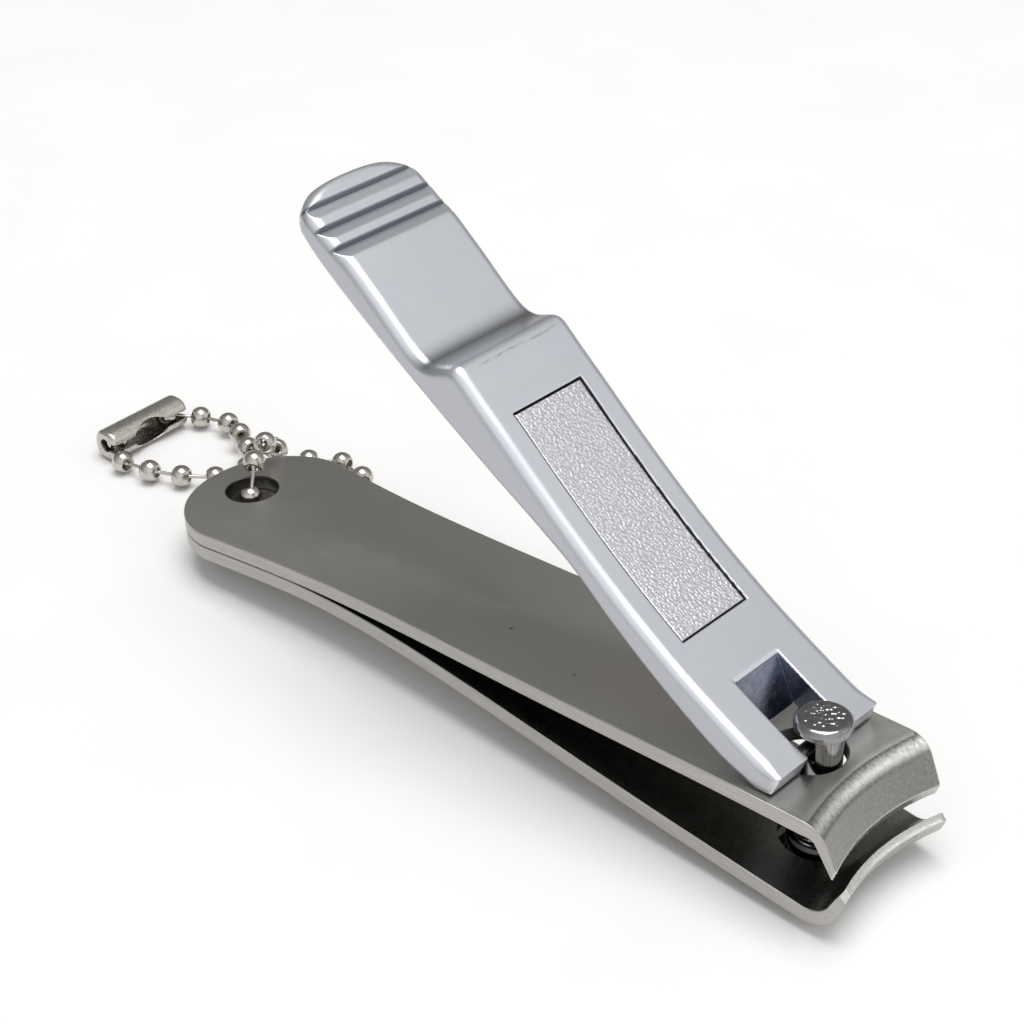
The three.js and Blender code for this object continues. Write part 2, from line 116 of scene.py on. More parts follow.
# ------------------------------------------------------------------ material kit
class Mat:
    """A material around one Principled shader, with short calls for the nodes that feed it."""

    def __init__(self, name, base, metallic=1.0, rough=0.3):
        self.material = bpy.data.materials.new(name)
        self.material.use_nodes = True
        tree = self.material.node_tree
        self.nodes, self.links = tree.nodes, tree.links
        self.shader = self.nodes["Principled BSDF"]
        self.feed(self.shader.inputs["Base Color"], base)
        self.shader.inputs["Metallic"].default_value = metallic
        self.shader.inputs["Roughness"].default_value = rough

    def new(self, kind, **props):
        node = self.nodes.new("ShaderNode" + kind)
        for key, value in props.items():
            setattr(node, key, value)
        return node

    def feed(self, socket, value):
        """Links a socket to an output, or gives it a colour or a number."""
        if isinstance(value, bpy.types.NodeSocket):
            self.links.new(value, socket)
        elif isinstance(value, tuple):
            socket.default_value = (*value, 1)
        else:
            socket.default_value = value

    def set(self, name, value):
        self.feed(self.shader.inputs[name], value)

    def dev(self):
        """The coordinates stored with the mesh, in millimetres."""
        return self.new("Attribute", attribute_name="dev").outputs["Vector"]

    def object_coords(self):
        return self.new("TexCoord").outputs["Object"]

    def scaled(self, vec, scale, rot=(0, 0, 0), loc=(0, 0, 0)):
        node = self.new("Mapping")
        node.inputs["Scale"].default_value = scale
        node.inputs["Rotation"].default_value = rot
        node.inputs["Location"].default_value = loc
        self.links.new(vec, node.inputs["Vector"])
        return node.outputs["Vector"]

    def noise(self, vec, scale, detail, rough):
        node = self.new("TexNoise")
        self.links.new(vec, node.inputs["Vector"])
        node.inputs["Scale"].default_value = scale
        node.inputs["Detail"].default_value = detail
        node.inputs["Roughness"].default_value = rough
        return node.outputs[0]

    def voronoi(self, vec, scale):
        node = self.new("TexVoronoi")
        self.links.new(vec, node.inputs["Vector"])
        node.inputs["Scale"].default_value = scale
        return node.outputs["Distance"]

    def ramp(self, fac, stops):
        """Colour ramp from {position: colour}."""
        node = self.new("ValToRGB")
        elements = node.color_ramp.elements
        while len(elements) < len(stops):
            elements.new(0.5)
        for element, (position, colour) in zip(elements, stops.items()):
            element.position = position
            element.color = (*colour, 1)
        self.links.new(fac, node.inputs["Fac"])
        return node.outputs["Color"]

    def math(self, operation, *values):
        node = self.new("Math", operation=operation)
        for socket, value in zip(node.inputs, values):
            self.feed(socket, value)
        return node.outputs[0]

    def add(self, a, b):
        return self.math("ADD", a, b)

    def mul(self, a, b):
        return self.math("MULTIPLY", a, b)

    def away(self, value, centre):
        """Distance of a value from a centre."""
        return self.math("ABSOLUTE", self.math("SUBTRACT", value, centre))

    def remap(self, value, span, to):
        node = self.new("MapRange")
        node.inputs["From Min"].default_value = span[0]
        node.inputs["From Max"].default_value = span[1]
        node.inputs["To Min"].default_value = to[0]
        node.inputs["To Max"].default_value = to[1]
        self.links.new(value, node.inputs["Value"])
        return node.outputs[0]

    def mix(self, amount, under, over):
        node = self.new("Mix", data_type="RGBA")
        for number, value in ((0, amount), (6, under), (7, over)):
            self.feed(node.inputs[number], value)
        return node.outputs[2]

    def bump(self, height, distance, strength):
        """Bumps the shader's normal; distance is in metres."""
        node = self.new("Bump")
        node.inputs["Strength"].default_value = strength
        node.inputs["Distance"].default_value = distance
        self.links.new(height, node.inputs["Height"])
        self.set("Normal", node.outputs["Normal"])

    def xyz(self, vec):
        node = self.new("SeparateXYZ")
        self.links.new(vec, node.inputs[0])
        return node.outputs


# ------------------------------------------------------------------ materials
def steel_face():
    """Outer faces of the jaws."""
    m = Mat("satin_steel", base=(0.47, 0.46, 0.43), rough=0.34)
    v = m.dev()
    x, y, _ = m.xyz(v)
    grain = m.noise(m.scaled(v, (1.6, 9.0, 9.0)), scale=1.6, detail=5, rough=0.7)
    fine = m.noise(m.scaled(v, (0.5, 14.0, 14.0)), scale=1.4, detail=4, rough=0.75)
    cloud = m.noise(m.scaled(v, (0.08, 0.12, 0.12)), scale=1.0, detail=3, rough=0.5)
    col = m.ramp(grain, {0.3: (0.45, 0.44, 0.412), 0.7: (0.50, 0.492, 0.462)})
    cloudy = m.remap(cloud, span=(0.35, 0.65), to=(0.0, 0.35))
    col = m.mix(cloudy, col, over=(0.43, 0.422, 0.395))
    # a faint warm oval bloom, centred at x = 61, y = -2.5
    dx, dy = m.math("SUBTRACT", x, 61.0), m.math("SUBTRACT", y, -2.5)
    bloom = m.add(m.mul(m.mul(dx, dx), 0.012), m.mul(m.mul(dy, dy), 0.07))
    bloom = m.remap(bloom, span=(0.0, 1.0), to=(0.35, 0.0))
    col = m.mix(bloom, col, over=(0.52, 0.435, 0.40))
    # a few small dark marks
    spots = m.voronoi(m.scaled(v, (1, 1, 1)), scale=0.16)
    spots = m.remap(spots, span=(0.012, 0.05), to=(0.75, 0.0))
    m.set("Base Color", m.mix(spots, col, over=(0.12, 0.10, 0.085)))
    m.set("Roughness", m.remap(fine, span=(0.3, 0.7), to=(0.29, 0.39)))
    # long thin scratches, only in patches, over a fine grain
    scratch = m.scaled(v, (0.16, 5.5, 5.5), rot=(0, 0, 0.32))
    scratch = m.noise(scratch, scale=1.5, detail=2, rough=0.4)
    line = m.remap(m.away(scratch, 0.5), span=(0.0, 0.006), to=(1.0, 0.0))
    patch = m.noise(m.scaled(v, (0.13, 0.2, 0.2)), scale=1.0, detail=1, rough=0.5)
    patch = m.remap(patch, span=(0.58, 0.64), to=(0.0, 1.0))
    height = m.math("SUBTRACT", m.mul(grain, 0.5), m.mul(m.mul(line, patch), 0.6))
    m.bump(m.add(height, m.mul(fine, 0.6)), distance=0.000012, strength=0.55)
    m.shader.inputs["Anisotropic"].default_value = 0.25
    return m.material


def steel_edge():
    """Ground edges along the jaws' outline."""
    m = Mat("ground_edge_steel", base=(0.6, 0.59, 0.565), rough=0.36)
    v = m.dev()
    lines = m.noise(m.scaled(v, (0.12, 0.3, 11.0)), scale=1.8, detail=5, rough=0.75)
    tick = m.noise(m.scaled(v, (4.0, 1.0, 1.2)), scale=1.6, detail=3, rough=0.7)
    m.set("Base Color", m.ramp(lines, {
        0.28: (0.34, 0.332, 0.31), 0.5: (0.43, 0.42, 0.398), 0.72: (0.56, 0.55, 0.525)}))
    m.set("Roughness", m.remap(tick, span=(0.3, 0.7), to=(0.33, 0.48)))
    m.bump(m.add(m.mul(lines, 1.0), m.mul(tick, 0.4)), distance=0.00003, strength=0.6)
    return m.material


def steel_lip():
    """Outer face of the upper jaw's bend and lip, with a painted highlight along the bend."""
    m = Mat("polished_lip_steel_painted_highlight", base=(0.55, 0.54, 0.515), rough=0.26)
    v = m.dev()
    speck = m.noise(v, scale=2.6, detail=5, rough=0.72)
    fine = m.noise(v, scale=9.0, detail=4, rough=0.7)
    col = m.ramp(speck, {
        0.34: (0.235, 0.23, 0.22), 0.56: (0.275, 0.27, 0.26), 0.76: (0.40, 0.395, 0.38)})
    # painted highlight: a bright line across the bend, where the overhead softbox would reflect
    line = m.remap(m.away(m.xyz(v)[0], 80.55), span=(0.08, 0.55), to=(1.0, 0.0))
    line = m.mul(line, m.remap(speck, span=(0.3, 0.55), to=(0.45, 1.0)))
    col = m.mix(line, col, over=(0.93, 0.92, 0.90))
    pits = m.remap(m.voronoi(v, scale=0.42), span=(0.05, 0.16), to=(0.45, 0.0))
    m.set("Base Color", m.mix(pits, col, over=(0.22, 0.21, 0.2)))
    m.set("Roughness", m.remap(speck, span=(0.3, 0.7), to=(0.2, 0.34)))
    m.bump(m.add(speck, m.mul(fine, 0.6)), distance=0.000006, strength=0.5)
    return m.material


def grained_metal(name, base, rough, grain_scale, noise, dark, light, rough_range, distance,
                  strength):
    """A metal whose colour, roughness and bump all follow one stretched noise."""
    m = Mat(name, base=base, rough=rough)
    grain = m.noise(m.scaled(m.dev(), grain_scale), **noise)
    m.set("Base Color", m.ramp(grain, {0.3: dark, 0.7: light}))
    m.set("Roughness", m.remap(grain, span=(0.3, 0.7), to=rough_range))
    m.bump(grain, distance, strength)
    return m.material


def steel_grind():
    """Ground ends of the lips."""
    return grained_metal(
        "ground_bevel_steel", base=(0.66, 0.65, 0.63), rough=0.3, grain_scale=(0.6, 14.0, 0.8),
        noise=dict(scale=1.5, detail=4, rough=0.75),
        dark=(0.56, 0.55, 0.53), light=(0.76, 0.755, 0.74),
        rough_range=(0.22, 0.4), distance=0.00003, strength=0.7)


def steel_inner():
    """Inner faces of the jaws and the walls of their holes, darkened as painted shade."""
    # painted shade: the dark colours stand for the shade between the jaws and inside the holes
    return grained_metal(
        "inner_steel_painted_shade", base=(0.2, 0.195, 0.18), rough=0.3, grain_scale=(1.2, 7.0, 7.0),
        noise=dict(scale=1.6, detail=5, rough=0.7),
        dark=(0.145, 0.14, 0.128), light=(0.20, 0.195, 0.18),
        rough_range=(0.24, 0.36), distance=0.00001, strength=0.5)


def slot_wall():
    """Walls of the lever's slot, painted dark blue-grey as the shade inside the slot."""
    # painted shade: the dark colours stand for the shade inside the slot
    return grained_metal(
        "slot_wall_painted_shade", base=(0.36, 0.40, 0.49), rough=0.2, grain_scale=(1.0, 1.0, 3.0),
        noise=dict(scale=1.4, detail=4, rough=0.6),
        dark=(0.20, 0.22, 0.29), light=(0.31, 0.335, 0.41),
        rough_range=(0.16, 0.28), distance=0.00002, strength=0.4)


def chrome(name, base, rough, distance=0.00001):
    """Plating for the small parts, textured in object space."""
    m = Mat(name, base=base, rough=rough)
    v = m.scaled(m.object_coords(), (1000, 1000, 1000))
    coarse = m.noise(v, scale=1.6, detail=4, rough=0.6)
    fine = m.noise(v, scale=7.0, detail=3, rough=0.7)
    dark = tuple(c * 0.82 for c in base)
    m.set("Base Color", m.ramp(coarse, {0.3: dark, 0.68: base}))
    m.set("Roughness", m.remap(fine, span=(0.3, 0.7), to=(rough * 0.7, rough * 1.5)))
    m.bump(m.add(coarse, m.mul(fine, 0.25)), distance, strength=0.5)
    return m.material


def post_chrome():
    m = Mat("polished_post_chrome", base=(0.40, 0.392, 0.392), rough=0.12)
    v = m.dev()
    z = m.xyz(v)[2]
    coarse = m.noise(v, scale=1.6, detail=4, rough=0.6)
    # painted reflection: vertical streaks down the shank stand for the bands a polished cylinder
    # reflects
    shank_reflection_streak = m.noise(m.scaled(v, (3.2, 3.2, 0.25)), scale=1.0, detail=3, rough=0.7)
    head = m.ramp(coarse, {0.3: (0.26, 0.255, 0.255), 0.68: (0.33, 0.324, 0.324)})
    shank = m.ramp(shank_reflection_streak, {0.35: (0.17, 0.166, 0.166), 0.65: (0.36, 0.352, 0.352)})
    col = m.mix(m.remap(z, span=(2.6, 2.9), to=(1.0, 0.0)), head, over=shank)
    # painted shade: darker below the upper jaw, where the post sits between the jaws
    low = m.remap(z, span=(-1.6, -0.8), to=(1.0, 0.0))
    m.set("Base Color", m.mix(low, col, over=(0.085, 0.082, 0.08)))
    m.set("Roughness", m.remap(coarse, span=(0.3, 0.7), to=(0.09, 0.17)))
    m.bump(m.add(coarse, shank_reflection_streak), distance=0.000012, strength=0.5)
    return m.material


def lever_satin():
    """Body of the lever; the coordinates are the lever frame's (a, y, b)."""
    m = Mat("satin_pearl_plating", base=(0.70, 0.72, 0.765), metallic=0.92, rough=0.36)
    v = m.dev()
    a, y, b = m.xyz(v)
    pearl = m.noise(v, scale=9.0, detail=4, rough=0.7)
    cloud = m.noise(v, scale=0.22, detail=3, rough=0.5)
    col = m.ramp(pearl, {0.3: (0.70, 0.72, 0.765), 0.7: (0.735, 0.755, 0.80)})
    cloudy = m.remap(cloud, span=(0.35, 0.65), to=(0.0, 0.25))
    col = m.mix(cloudy, col, over=(0.66, 0.69, 0.75))
    # shade in the hollow before the step
    hollow = m.remap(m.away(a, -8.25), span=(0.0, 2.1), to=(1.0, 0.0))
    hollow = m.math("POWER", hollow, 1.6)
    hollow = m.mul(hollow, m.remap(b, span=(47.0, 47.6), to=(0.0, 0.88)))
    col = m.mix(hollow, col, over=(0.17, 0.176, 0.17))
    # painted shade at the foot of each thumb rib
    for foot in (9.2, 6.93, 4.76):
        near = m.remap(m.away(a, foot), span=(0.1, 0.26), to=(1.0, 0.0))
        near = m.mul(near, m.remap(b, span=(45.4, 45.6), to=(0.0, 0.9)))
        col = m.mix(near, col, over=(0.15, 0.158, 0.18))
    # a wavering, broken rub mark across the step
    waver = m.noise(m.scaled(v, (0.1, 0.5, 0.1)), scale=1.0, detail=2, rough=0.5)
    line = m.away(m.add(a, m.mul(waver, 0.5)), -10.62)
    line = m.remap(line, span=(0.05, 0.17), to=(1.0, 0.0))
    broken = m.scaled(v, (1.5, 0.42, 0.1), loc=(3.1, 1.7, 0))
    broken = m.noise(broken, scale=1.0, detail=2, rough=0.6)
    broken = m.remap(broken, span=(0.38, 0.56), to=(0.0, 1.0))
    inside = m.remap(m.math("ABSOLUTE", y), span=(5.0, 5.7), to=(1.0, 0.0))
    top = m.remap(b, span=(50.9, 51.3), to=(0.0, 1.0))
    rub = m.mul(m.mul(line, broken), m.mul(inside, top))
    col = m.mix(m.mul(rub, 0.55), col, over=(0.25, 0.26, 0.29))
    # painted shade: the flanks, which face sideways, are darker
    normal = m.new("TexCoord").outputs["Normal"]
    flank_shade = m.math("ABSOLUTE", m.xyz(normal)[1])
    flank_shade = m.remap(flank_shade, span=(0.75, 0.99), to=(0.0, 1.0))
    m.set("Base Color", m.mix(flank_shade, col, over=(0.47, 0.485, 0.525)))
    m.set("Roughness", m.remap(pearl, span=(0.3, 0.7), to=(0.28, 0.33)))
    m.bump(pearl, distance=0.000004, strength=0.3)
    return m.material


def recess_shadow():
    """Walls and floor of the recess under the file plate."""
    m = Mat("recess_shadow", base=(0.05, 0.045, 0.06), metallic=0.2, rough=0.55)
    mottle = m.noise(m.dev(), scale=3.0, detail=3, rough=0.6)
    m.set("Base Color", m.ramp(mottle, {0.3: (0.035, 0.03, 0.045), 0.7: (0.08, 0.07, 0.095)}))
    return m.material


def file_grit():
    """File plate; the third coordinate is the height of the grain, 0 to 1."""
    m = Mat("etched_file_steel", base=(0.60, 0.585, 0.62), rough=0.34)
    v = m.dev()
    speck = m.noise(v, scale=6.0, detail=3, rough=0.7)
    peak = m.remap(m.xyz(v)[2], span=(0.0, 1.0), to=(0.0, 1.0))
    col = m.mix(peak, (0.66, 0.66, 0.70), over=(0.97, 0.965, 0.99))
    dull = m.remap(speck, span=(0.35, 0.65), to=(0.0, 0.25))
    m.set("Base Color", m.mix(dull, col, over=(0.62, 0.62, 0.67)))
    m.set("Roughness", m.remap(speck, span=(0.3, 0.7), to=(0.26, 0.42)))
    m.bump(speck, distance=0.00002, strength=0.6)
    return m.material


def pale_floor():
    m = Mat("pale_floor", base=(0.82, 0.81, 0.808), metallic=0.0, rough=0.7)
    m.shader.inputs["Specular IOR Level"].default_value = 0.25
    mottle = m.scaled(m.object_coords(), (60, 60, 60))
    mottle = m.noise(mottle, scale=1.0, detail=4, rough=0.5)
    m.set("Base Color", m.ramp(mottle, {0.3: (0.810, 0.803, 0.801), 0.7: (0.832, 0.826, 0.824)}))
    return m.material


# ------------------------------------------------------------------ mesh kit
def build(name, points, faces, node, mats, dev, index=None, normals=None, in_row=False,
          ride=True):
    """A smooth mesh that stands in for one CAD node.

    Points and normals are in the seam frame, or with in_row in row-frame millimetres. dev is
    the coordinate per point that the materials read; index is the material slot per face.
    """
    place = np.asarray(points, float) / 1000 if in_row else to_row(points)
    mesh = bpy.data.meshes.new(name)
    mesh.from_pydata(place.tolist(), [], [list(map(int, face)) for face in faces])
    mesh.update()
    for material in mats:
        mesh.materials.append(material)
    mesh.polygons.foreach_set("use_smooth", np.ones(len(mesh.polygons), bool))
    if index is not None:
        mesh.polygons.foreach_set("material_index", np.asarray(index, np.int32))
    attribute = mesh.attributes.new("dev", "FLOAT_VECTOR", "POINT")
    attribute.data.foreach_set("vector", np.asarray(dev, np.float32).ravel())
    if normals is not None:
        turned = normals if in_row else np.asarray(normals, float) @ SEAM_TURN.T
        mesh.normals_split_custom_set_from_vertices(unit(turned).tolist())
    mesh.update()
    ob = bpy.data.objects.new(name, mesh)
    bpy.context.scene.collection.objects.link(ob)
    if ride:
        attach(ob, BODY[node])
    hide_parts(node)
    return ob


CORNERS = [(i, j, k) for i in (0, 1) for j in (0, 1) for k in (0, 1)]


def corner_views(grid):
    """Eight views of a lattice, one for each corner of its cells."""
    n = grid.shape
    return [grid[i:n[0] - 1 + i, j:n[1] - 1 + j, k:n[2] - 1 + k] for i, j, k in CORNERS]


def sample_near(field, low, cell, n, band):
    """The field on an n-point lattice: full where it may change sign, coarse elsewhere."""
    coarse = [(low[k] + cell * np.arange(n[k]))[::band] for k in range(3)]
    points = np.stack(np.meshgrid(*coarse, indexing="ij"), -1).reshape(-1, 3)
    rough = field(points).reshape([len(axis) for axis in coarse])
    near = np.minimum.reduce(corner_views(np.abs(rough))) < cell * band * 1.25

    def spread(grid):
        return grid.repeat(band, 0).repeat(band, 1).repeat(band, 2)

    values = np.ones(n, np.float32)
    values[:-1, :-1, :-1] = spread(rough[:-1, :-1, :-1].astype(np.float32))
    mask = np.zeros(n, bool)
    mask[:-1, :-1, :-1] = spread(near)
    mask[1:] |= mask[:-1]
    mask[:, 1:] |= mask[:, :-1]
    mask[:, :, 1:] |= mask[:, :, :-1]
    where = np.argwhere(mask)
    exact = np.empty(len(where), np.float32)
    chunk = 400000
    for start in range(0, len(where), chunk):
        part = where[start:start + chunk]
        exact[start:start + chunk] = field(low + cell * part)
    values[mask] = exact
    return values


def implicit(field, low, high, cell, relax, band=4):
    """Closed quad mesh of the surface field = 0 (negative inside), its points moved onto it."""
    low = np.array(low, float)
    n = np.ceil((np.array(high, float) - low) / cell).astype(int)
    n = np.ceil(n / band).astype(int) * band + 1
    values = sample_near(field, low, cell, n, band)
    negative = values < 0
    count = np.zeros(n - 1, np.uint8)
    for view in corner_views(negative):
        count += view
    cells = np.argwhere((count > 0) & (count < 8))

    # one point per cell, at the mean of the crossings on its edges
    total, crossings = np.zeros((len(cells), 3)), np.zeros(len(cells))
    for start in CORNERS:
        for k in range(3):
            if start[k]:
                continue
            end = list(start)
            end[k] = 1
            v0, v1 = values[tuple((cells + start).T)], values[tuple((cells + end).T)]
            cross = (v0 < 0) != (v1 < 0)
            t = np.where(cross, v0 / np.where(cross, v0 - v1, 1), 0)
            step = np.array(end, float) - np.array(start, float)
            total += (np.array(start, float) + t[:, None] * step) * cross[:, None]
            crossings += cross
    points = low + cell * (cells + total / crossings[:, None])

    # one quad round each lattice edge that crosses the surface
    cell_id = np.full(n - 1, -1, np.int32)
    cell_id[tuple(cells.T)] = np.arange(len(cells))
    quads = []
    for k in range(3):
        lower, upper = [slice(1, -1)] * 3, [slice(1, -1)] * 3
        lower[k], upper[k] = slice(0, -1), slice(1, None)
        start_in, end_in = negative[tuple(lower)], negative[tuple(upper)]
        edge = np.argwhere(start_in != end_in)
        inside = start_in[tuple(edge.T)]
        edge = edge + 1
        edge[:, k] -= 1
        di, dj = np.zeros(3, int), np.zeros(3, int)
        di[(k + 1) % 3], dj[(k + 2) % 3] = 1, 1
        ring = [edge - di - dj, edge - dj, edge, edge - di]
        ids = np.stack([cell_id[tuple(corner.T)] for corner in ring], 1)
        ids[~inside] = ids[~inside][:, ::-1]
        quads.append(ids)
    quads = np.concatenate(quads)

    def gradient(p, eps):
        slope = np.empty_like(p)
        for k in range(3):
            d = np.zeros(3)
            d[k] = eps
            slope[:, k] = (field(p + d) - field(p - d)) / (2 * eps)
        return slope

    def project(p, rounds):
        for _ in range(rounds):
            slope = gradient(p, 0.02)
            step = (field(p) / np.maximum((slope * slope).sum(1), 0.15))[:, None] * slope
            length = np.linalg.norm(step, axis=1, keepdims=True)
            p = p - step * np.minimum(1, 0.8 * cell / np.maximum(length, 1e-9))
        return p

    points = project(points, 2)
    for _ in range(relax):
        # each point slides along the surface towards the mean of its neighbours
        total, weight = np.zeros_like(points), np.zeros(len(points))
        for k in range(4):
            p, q = quads[:, k], quads[:, (k + 1) % 4]
            for source, target in ((p, q), (q, p)):
                for axis in range(3):
                    total[:, axis] += np.bincount(target, points[source, axis], len(points))
                weight += np.bincount(target, minlength=len(points))
        normal = unit(gradient(points, 0.03))
        move = total / weight[:, None] - points
        move -= (move * normal).sum(1, keepdims=True) * normal
        points = project(points + 0.5 * move, 1)
    return points, quads, unit(gradient(points, 0.035))


def polygon_distance(polygon, p, q):
    """Signed distance in 2-D from points (p, q) to a closed polygon, negative inside."""
    polygon = np.asarray(polygon, float)
    nearest = np.full(p.shape, 1e9)
    inside = np.zeros(p.shape, bool)
    for (x0, y0), (x1, y1) in zip(polygon, np.roll(polygon, -1, 0)):
        ex, ey = x1 - x0, y1 - y0
        square = ex * ex + ey * ey
        if square < 1e-12:
            continue
        wx, wy = p - x0, q - y0
        t = np.clip((wx * ex + wy * ey) / square, 0, 1)
        dx, dy = wx - t * ex, wy - t * ey
        nearest = np.minimum(nearest, dx * dx + dy * dy)
        if abs(ey) > 1e-12:
            inside ^= ((y0 > q) != (y1 > q)) & (p < x0 + (q - y0) * ex / ey)
    return np.where(inside, -1, 1) * np.sqrt(nearest)


class DistanceTable:
    """Signed distance to a polygon, kept on a fine lattice and read back by interpolation."""

    def __init__(self, polygon, step, pad):
        polygon = np.asarray(polygon, float)
        self.low, self.step = polygon.min(0) - pad, step
        self.n = np.ceil((polygon.max(0) + pad - self.low) / step).astype(int) + 1
        axes = [self.low[k] + step * np.arange(self.n[k]) for k in range(2)]
        p, q = np.meshgrid(*axes, indexing="ij")
        self.values = polygon_distance(polygon, p.ravel(), q.ravel()).reshape(self.n)

    def __call__(self, p, q):
        u = np.clip((p - self.low[0]) / self.step, 0, self.n[0] - 1.001)
        w = np.clip((q - self.low[1]) / self.step, 0, self.n[1] - 1.001)
        i, j = u.astype(int), w.astype(int)
        u, w = u - i, w - j
        v = self.values
        near = v[i, j] * (1 - u) + v[i + 1, j] * u
        far = v[i, j + 1] * (1 - u) + v[i + 1, j + 1] * u
        return near * (1 - w) + far * w


def rounded_overlap(d1, d2, r):
    """Intersection of two solids with a convex edge of radius r."""
    u, w = d1 + r, d2 + r
    return np.minimum(np.maximum(u, w), 0) + np.hypot(np.maximum(u, 0), np.maximum(w, 0)) - r


def carve(solid, hole, blend):
    """A solid less a hole, the edge softened over the blend width."""
    h = np.maximum(blend - np.abs(solid + hole), 0) / blend
    return np.maximum(solid, -hole) + h * h * blend * 0.25


def smooth_line(points, step):
    """Catmull-Rom curve through the points, sampled about every step."""
    p = np.asarray(points, float)
    p = np.vstack([2 * p[0] - p[1], p, 2 * p[-1] - p[-2]])
    out = []
    for i in range(1, len(p) - 2):
        n = max(1, int(round(np.linalg.norm(p[i + 1] - p[i]) / step)))
        a, b, c, d = p[i - 1:i + 3]
        for t in np.arange(n) / n:
            out.append(0.5 * (2 * b + (c - a) * t + (2 * a - 5 * b + 4 * c - d) * t * t
                              + (3 * b - a - 3 * c + d) * t ** 3))
    out.append(p[-2])
    return np.array(out)


def natural_spline(x, y):
    """Natural cubic spline through the points, as a function."""
    x, y = np.array(x, float), np.array(y, float)
    n, h = len(x), np.diff(x)
    system, right = np.eye(n), np.zeros(n)
    for i in range(1, n - 1):
        system[i, i - 1:i + 2] = h[i - 1], 2 * (h[i - 1] + h[i]), h[i]
        right[i] = 3 * ((y[i + 1] - y[i]) / h[i] - (y[i] - y[i - 1]) / h[i - 1])
    c = np.linalg.solve(system, right)
    b = (y[1:] - y[:-1]) / h - h * (c[1:] + 2 * c[:-1]) / 3
    d = (c[1:] - c[:-1]) / (3 * h)

    def spline(t):
        i = np.clip(np.searchsorted(x, t) - 1, 0, n - 2)
        u = t - x[i]
        return y[i] + b[i] * u + c[i] * u * u + d[i] * u ** 3
    return spline


def lathe(profile, n, origin, direction):
    """Surface of revolution of (radius, height) points; joined end to end unless both ends
    lie on the axis."""
    profile = np.asarray(profile, float)
    d = unit(direction)
    x = np.array([1.0, 0.0, 0.0])
    x = unit(x - (x @ d) * d) if abs(x @ d) < 0.95 else unit(np.cross(d, (0, 1, 0)))
    y = np.cross(d, x)
    closed = not (profile[0, 0] < 1e-9 and profile[-1, 0] < 1e-9)
    points, faces, rings = [], [], []
    for r, h in profile:
        count = 1 if r < 1e-9 else n
        rings.append(range(len(points), len(points) + count))
        if count == 1:
            points.append(origin + d * h)
            continue
        for k in range(n):
            angle = 2 * math.pi * k / n
            points.append(origin + d * h + r * (x * math.cos(angle) + y * math.sin(angle)))
    for i in range(len(rings) if closed else len(rings) - 1):
        low, high = rings[i], rings[(i + 1) % len(rings)]
        for k in range(n):
            j = (k + 1) % n
            if len(low) == 1:
                faces.append((low[0], high[j], high[k]))
            elif len(high) == 1:
                faces.append((low[k], low[j], high[0]))
            else:
                faces.append((low[k], low[j], high[j], high[k]))
    return np.array(points), faces


# ------------------------------------------------------------------ jaw shape
# side is +1 for the upper jaw and -1 for the lower. A place on a jaw is (s, y, tau): s is the
# developed length from the rear end, tau goes from -1 (inner face) to +1 (outer face).
SEAM_GAP = 0.03                                       # seam plane to each inner face
WIDTH_X = [8.3, 20.8, 35.4, 52.0, 68.6, 83.2]         # stations along the jaw
WIDTH_HALF = [9.15, 8.19, 7.97, 8.15, 8.0, 7.93]      # half width at each station
half_width = natural_spline(WIDTH_X, WIDTH_HALF)
REAR_R = 8.48               # length of the rounded rear end
REAR_HALF = WIDTH_HALF[0]
CHAIN_HOLE_X, CHAIN_HOLE_R = 5.54, 2.7
POST_HOLE_R = 3.3
CURVE_START, CURVE_LENGTH = 16.627, 50                # before SCALE
CURVE = {1: (-0.572, -0.15), -1: (-10.49, 4.116)}     # square and cubic terms, before SCALE
BOW, BOW_LIP = 0.0173, 0.0072      # forward bow per y squared, and what the bend and lip add
BOW_START, BOW_LENGTH = 66, 13
LIP_T = 0.35                # the sheet tapers to this half thickness at the lip's end
CORNER_R = 0.3              # corners of the lip's end
EDGE_BEVEL = 0.13
ROW_STEP = 1.3              # spacing of interior points
EDGE, HOLE_WALL, OUTER, INNER = range(4)              # kinds of face

JAW_SIZES = {
    # chamfer: length and width of the corner cut on the -y side of the lip, or None
    1: dict(bend_start=79.6, bend_r=1.6, bend_end=66 * DEG, lip_in=3.55, lip_out=2.85,
            hole_x=75.55, chamfer=None),
    -1: dict(bend_start=79.7, bend_r=2.6, bend_end=58 * DEG, lip_in=1.62, lip_out=1.3,
             hole_x=76.55, chamfer=(1.5, 1.55)),
}


def inner_face(side, x):
    """Height of a jaw's inner face."""
    u = np.maximum(0, (x / SCALE - CURVE_START) / CURVE_LENGTH)
    square, cubic = CURVE[side]
    return SCALE * (square * u ** 2 + cubic * u ** 3) + side * SEAM_GAP


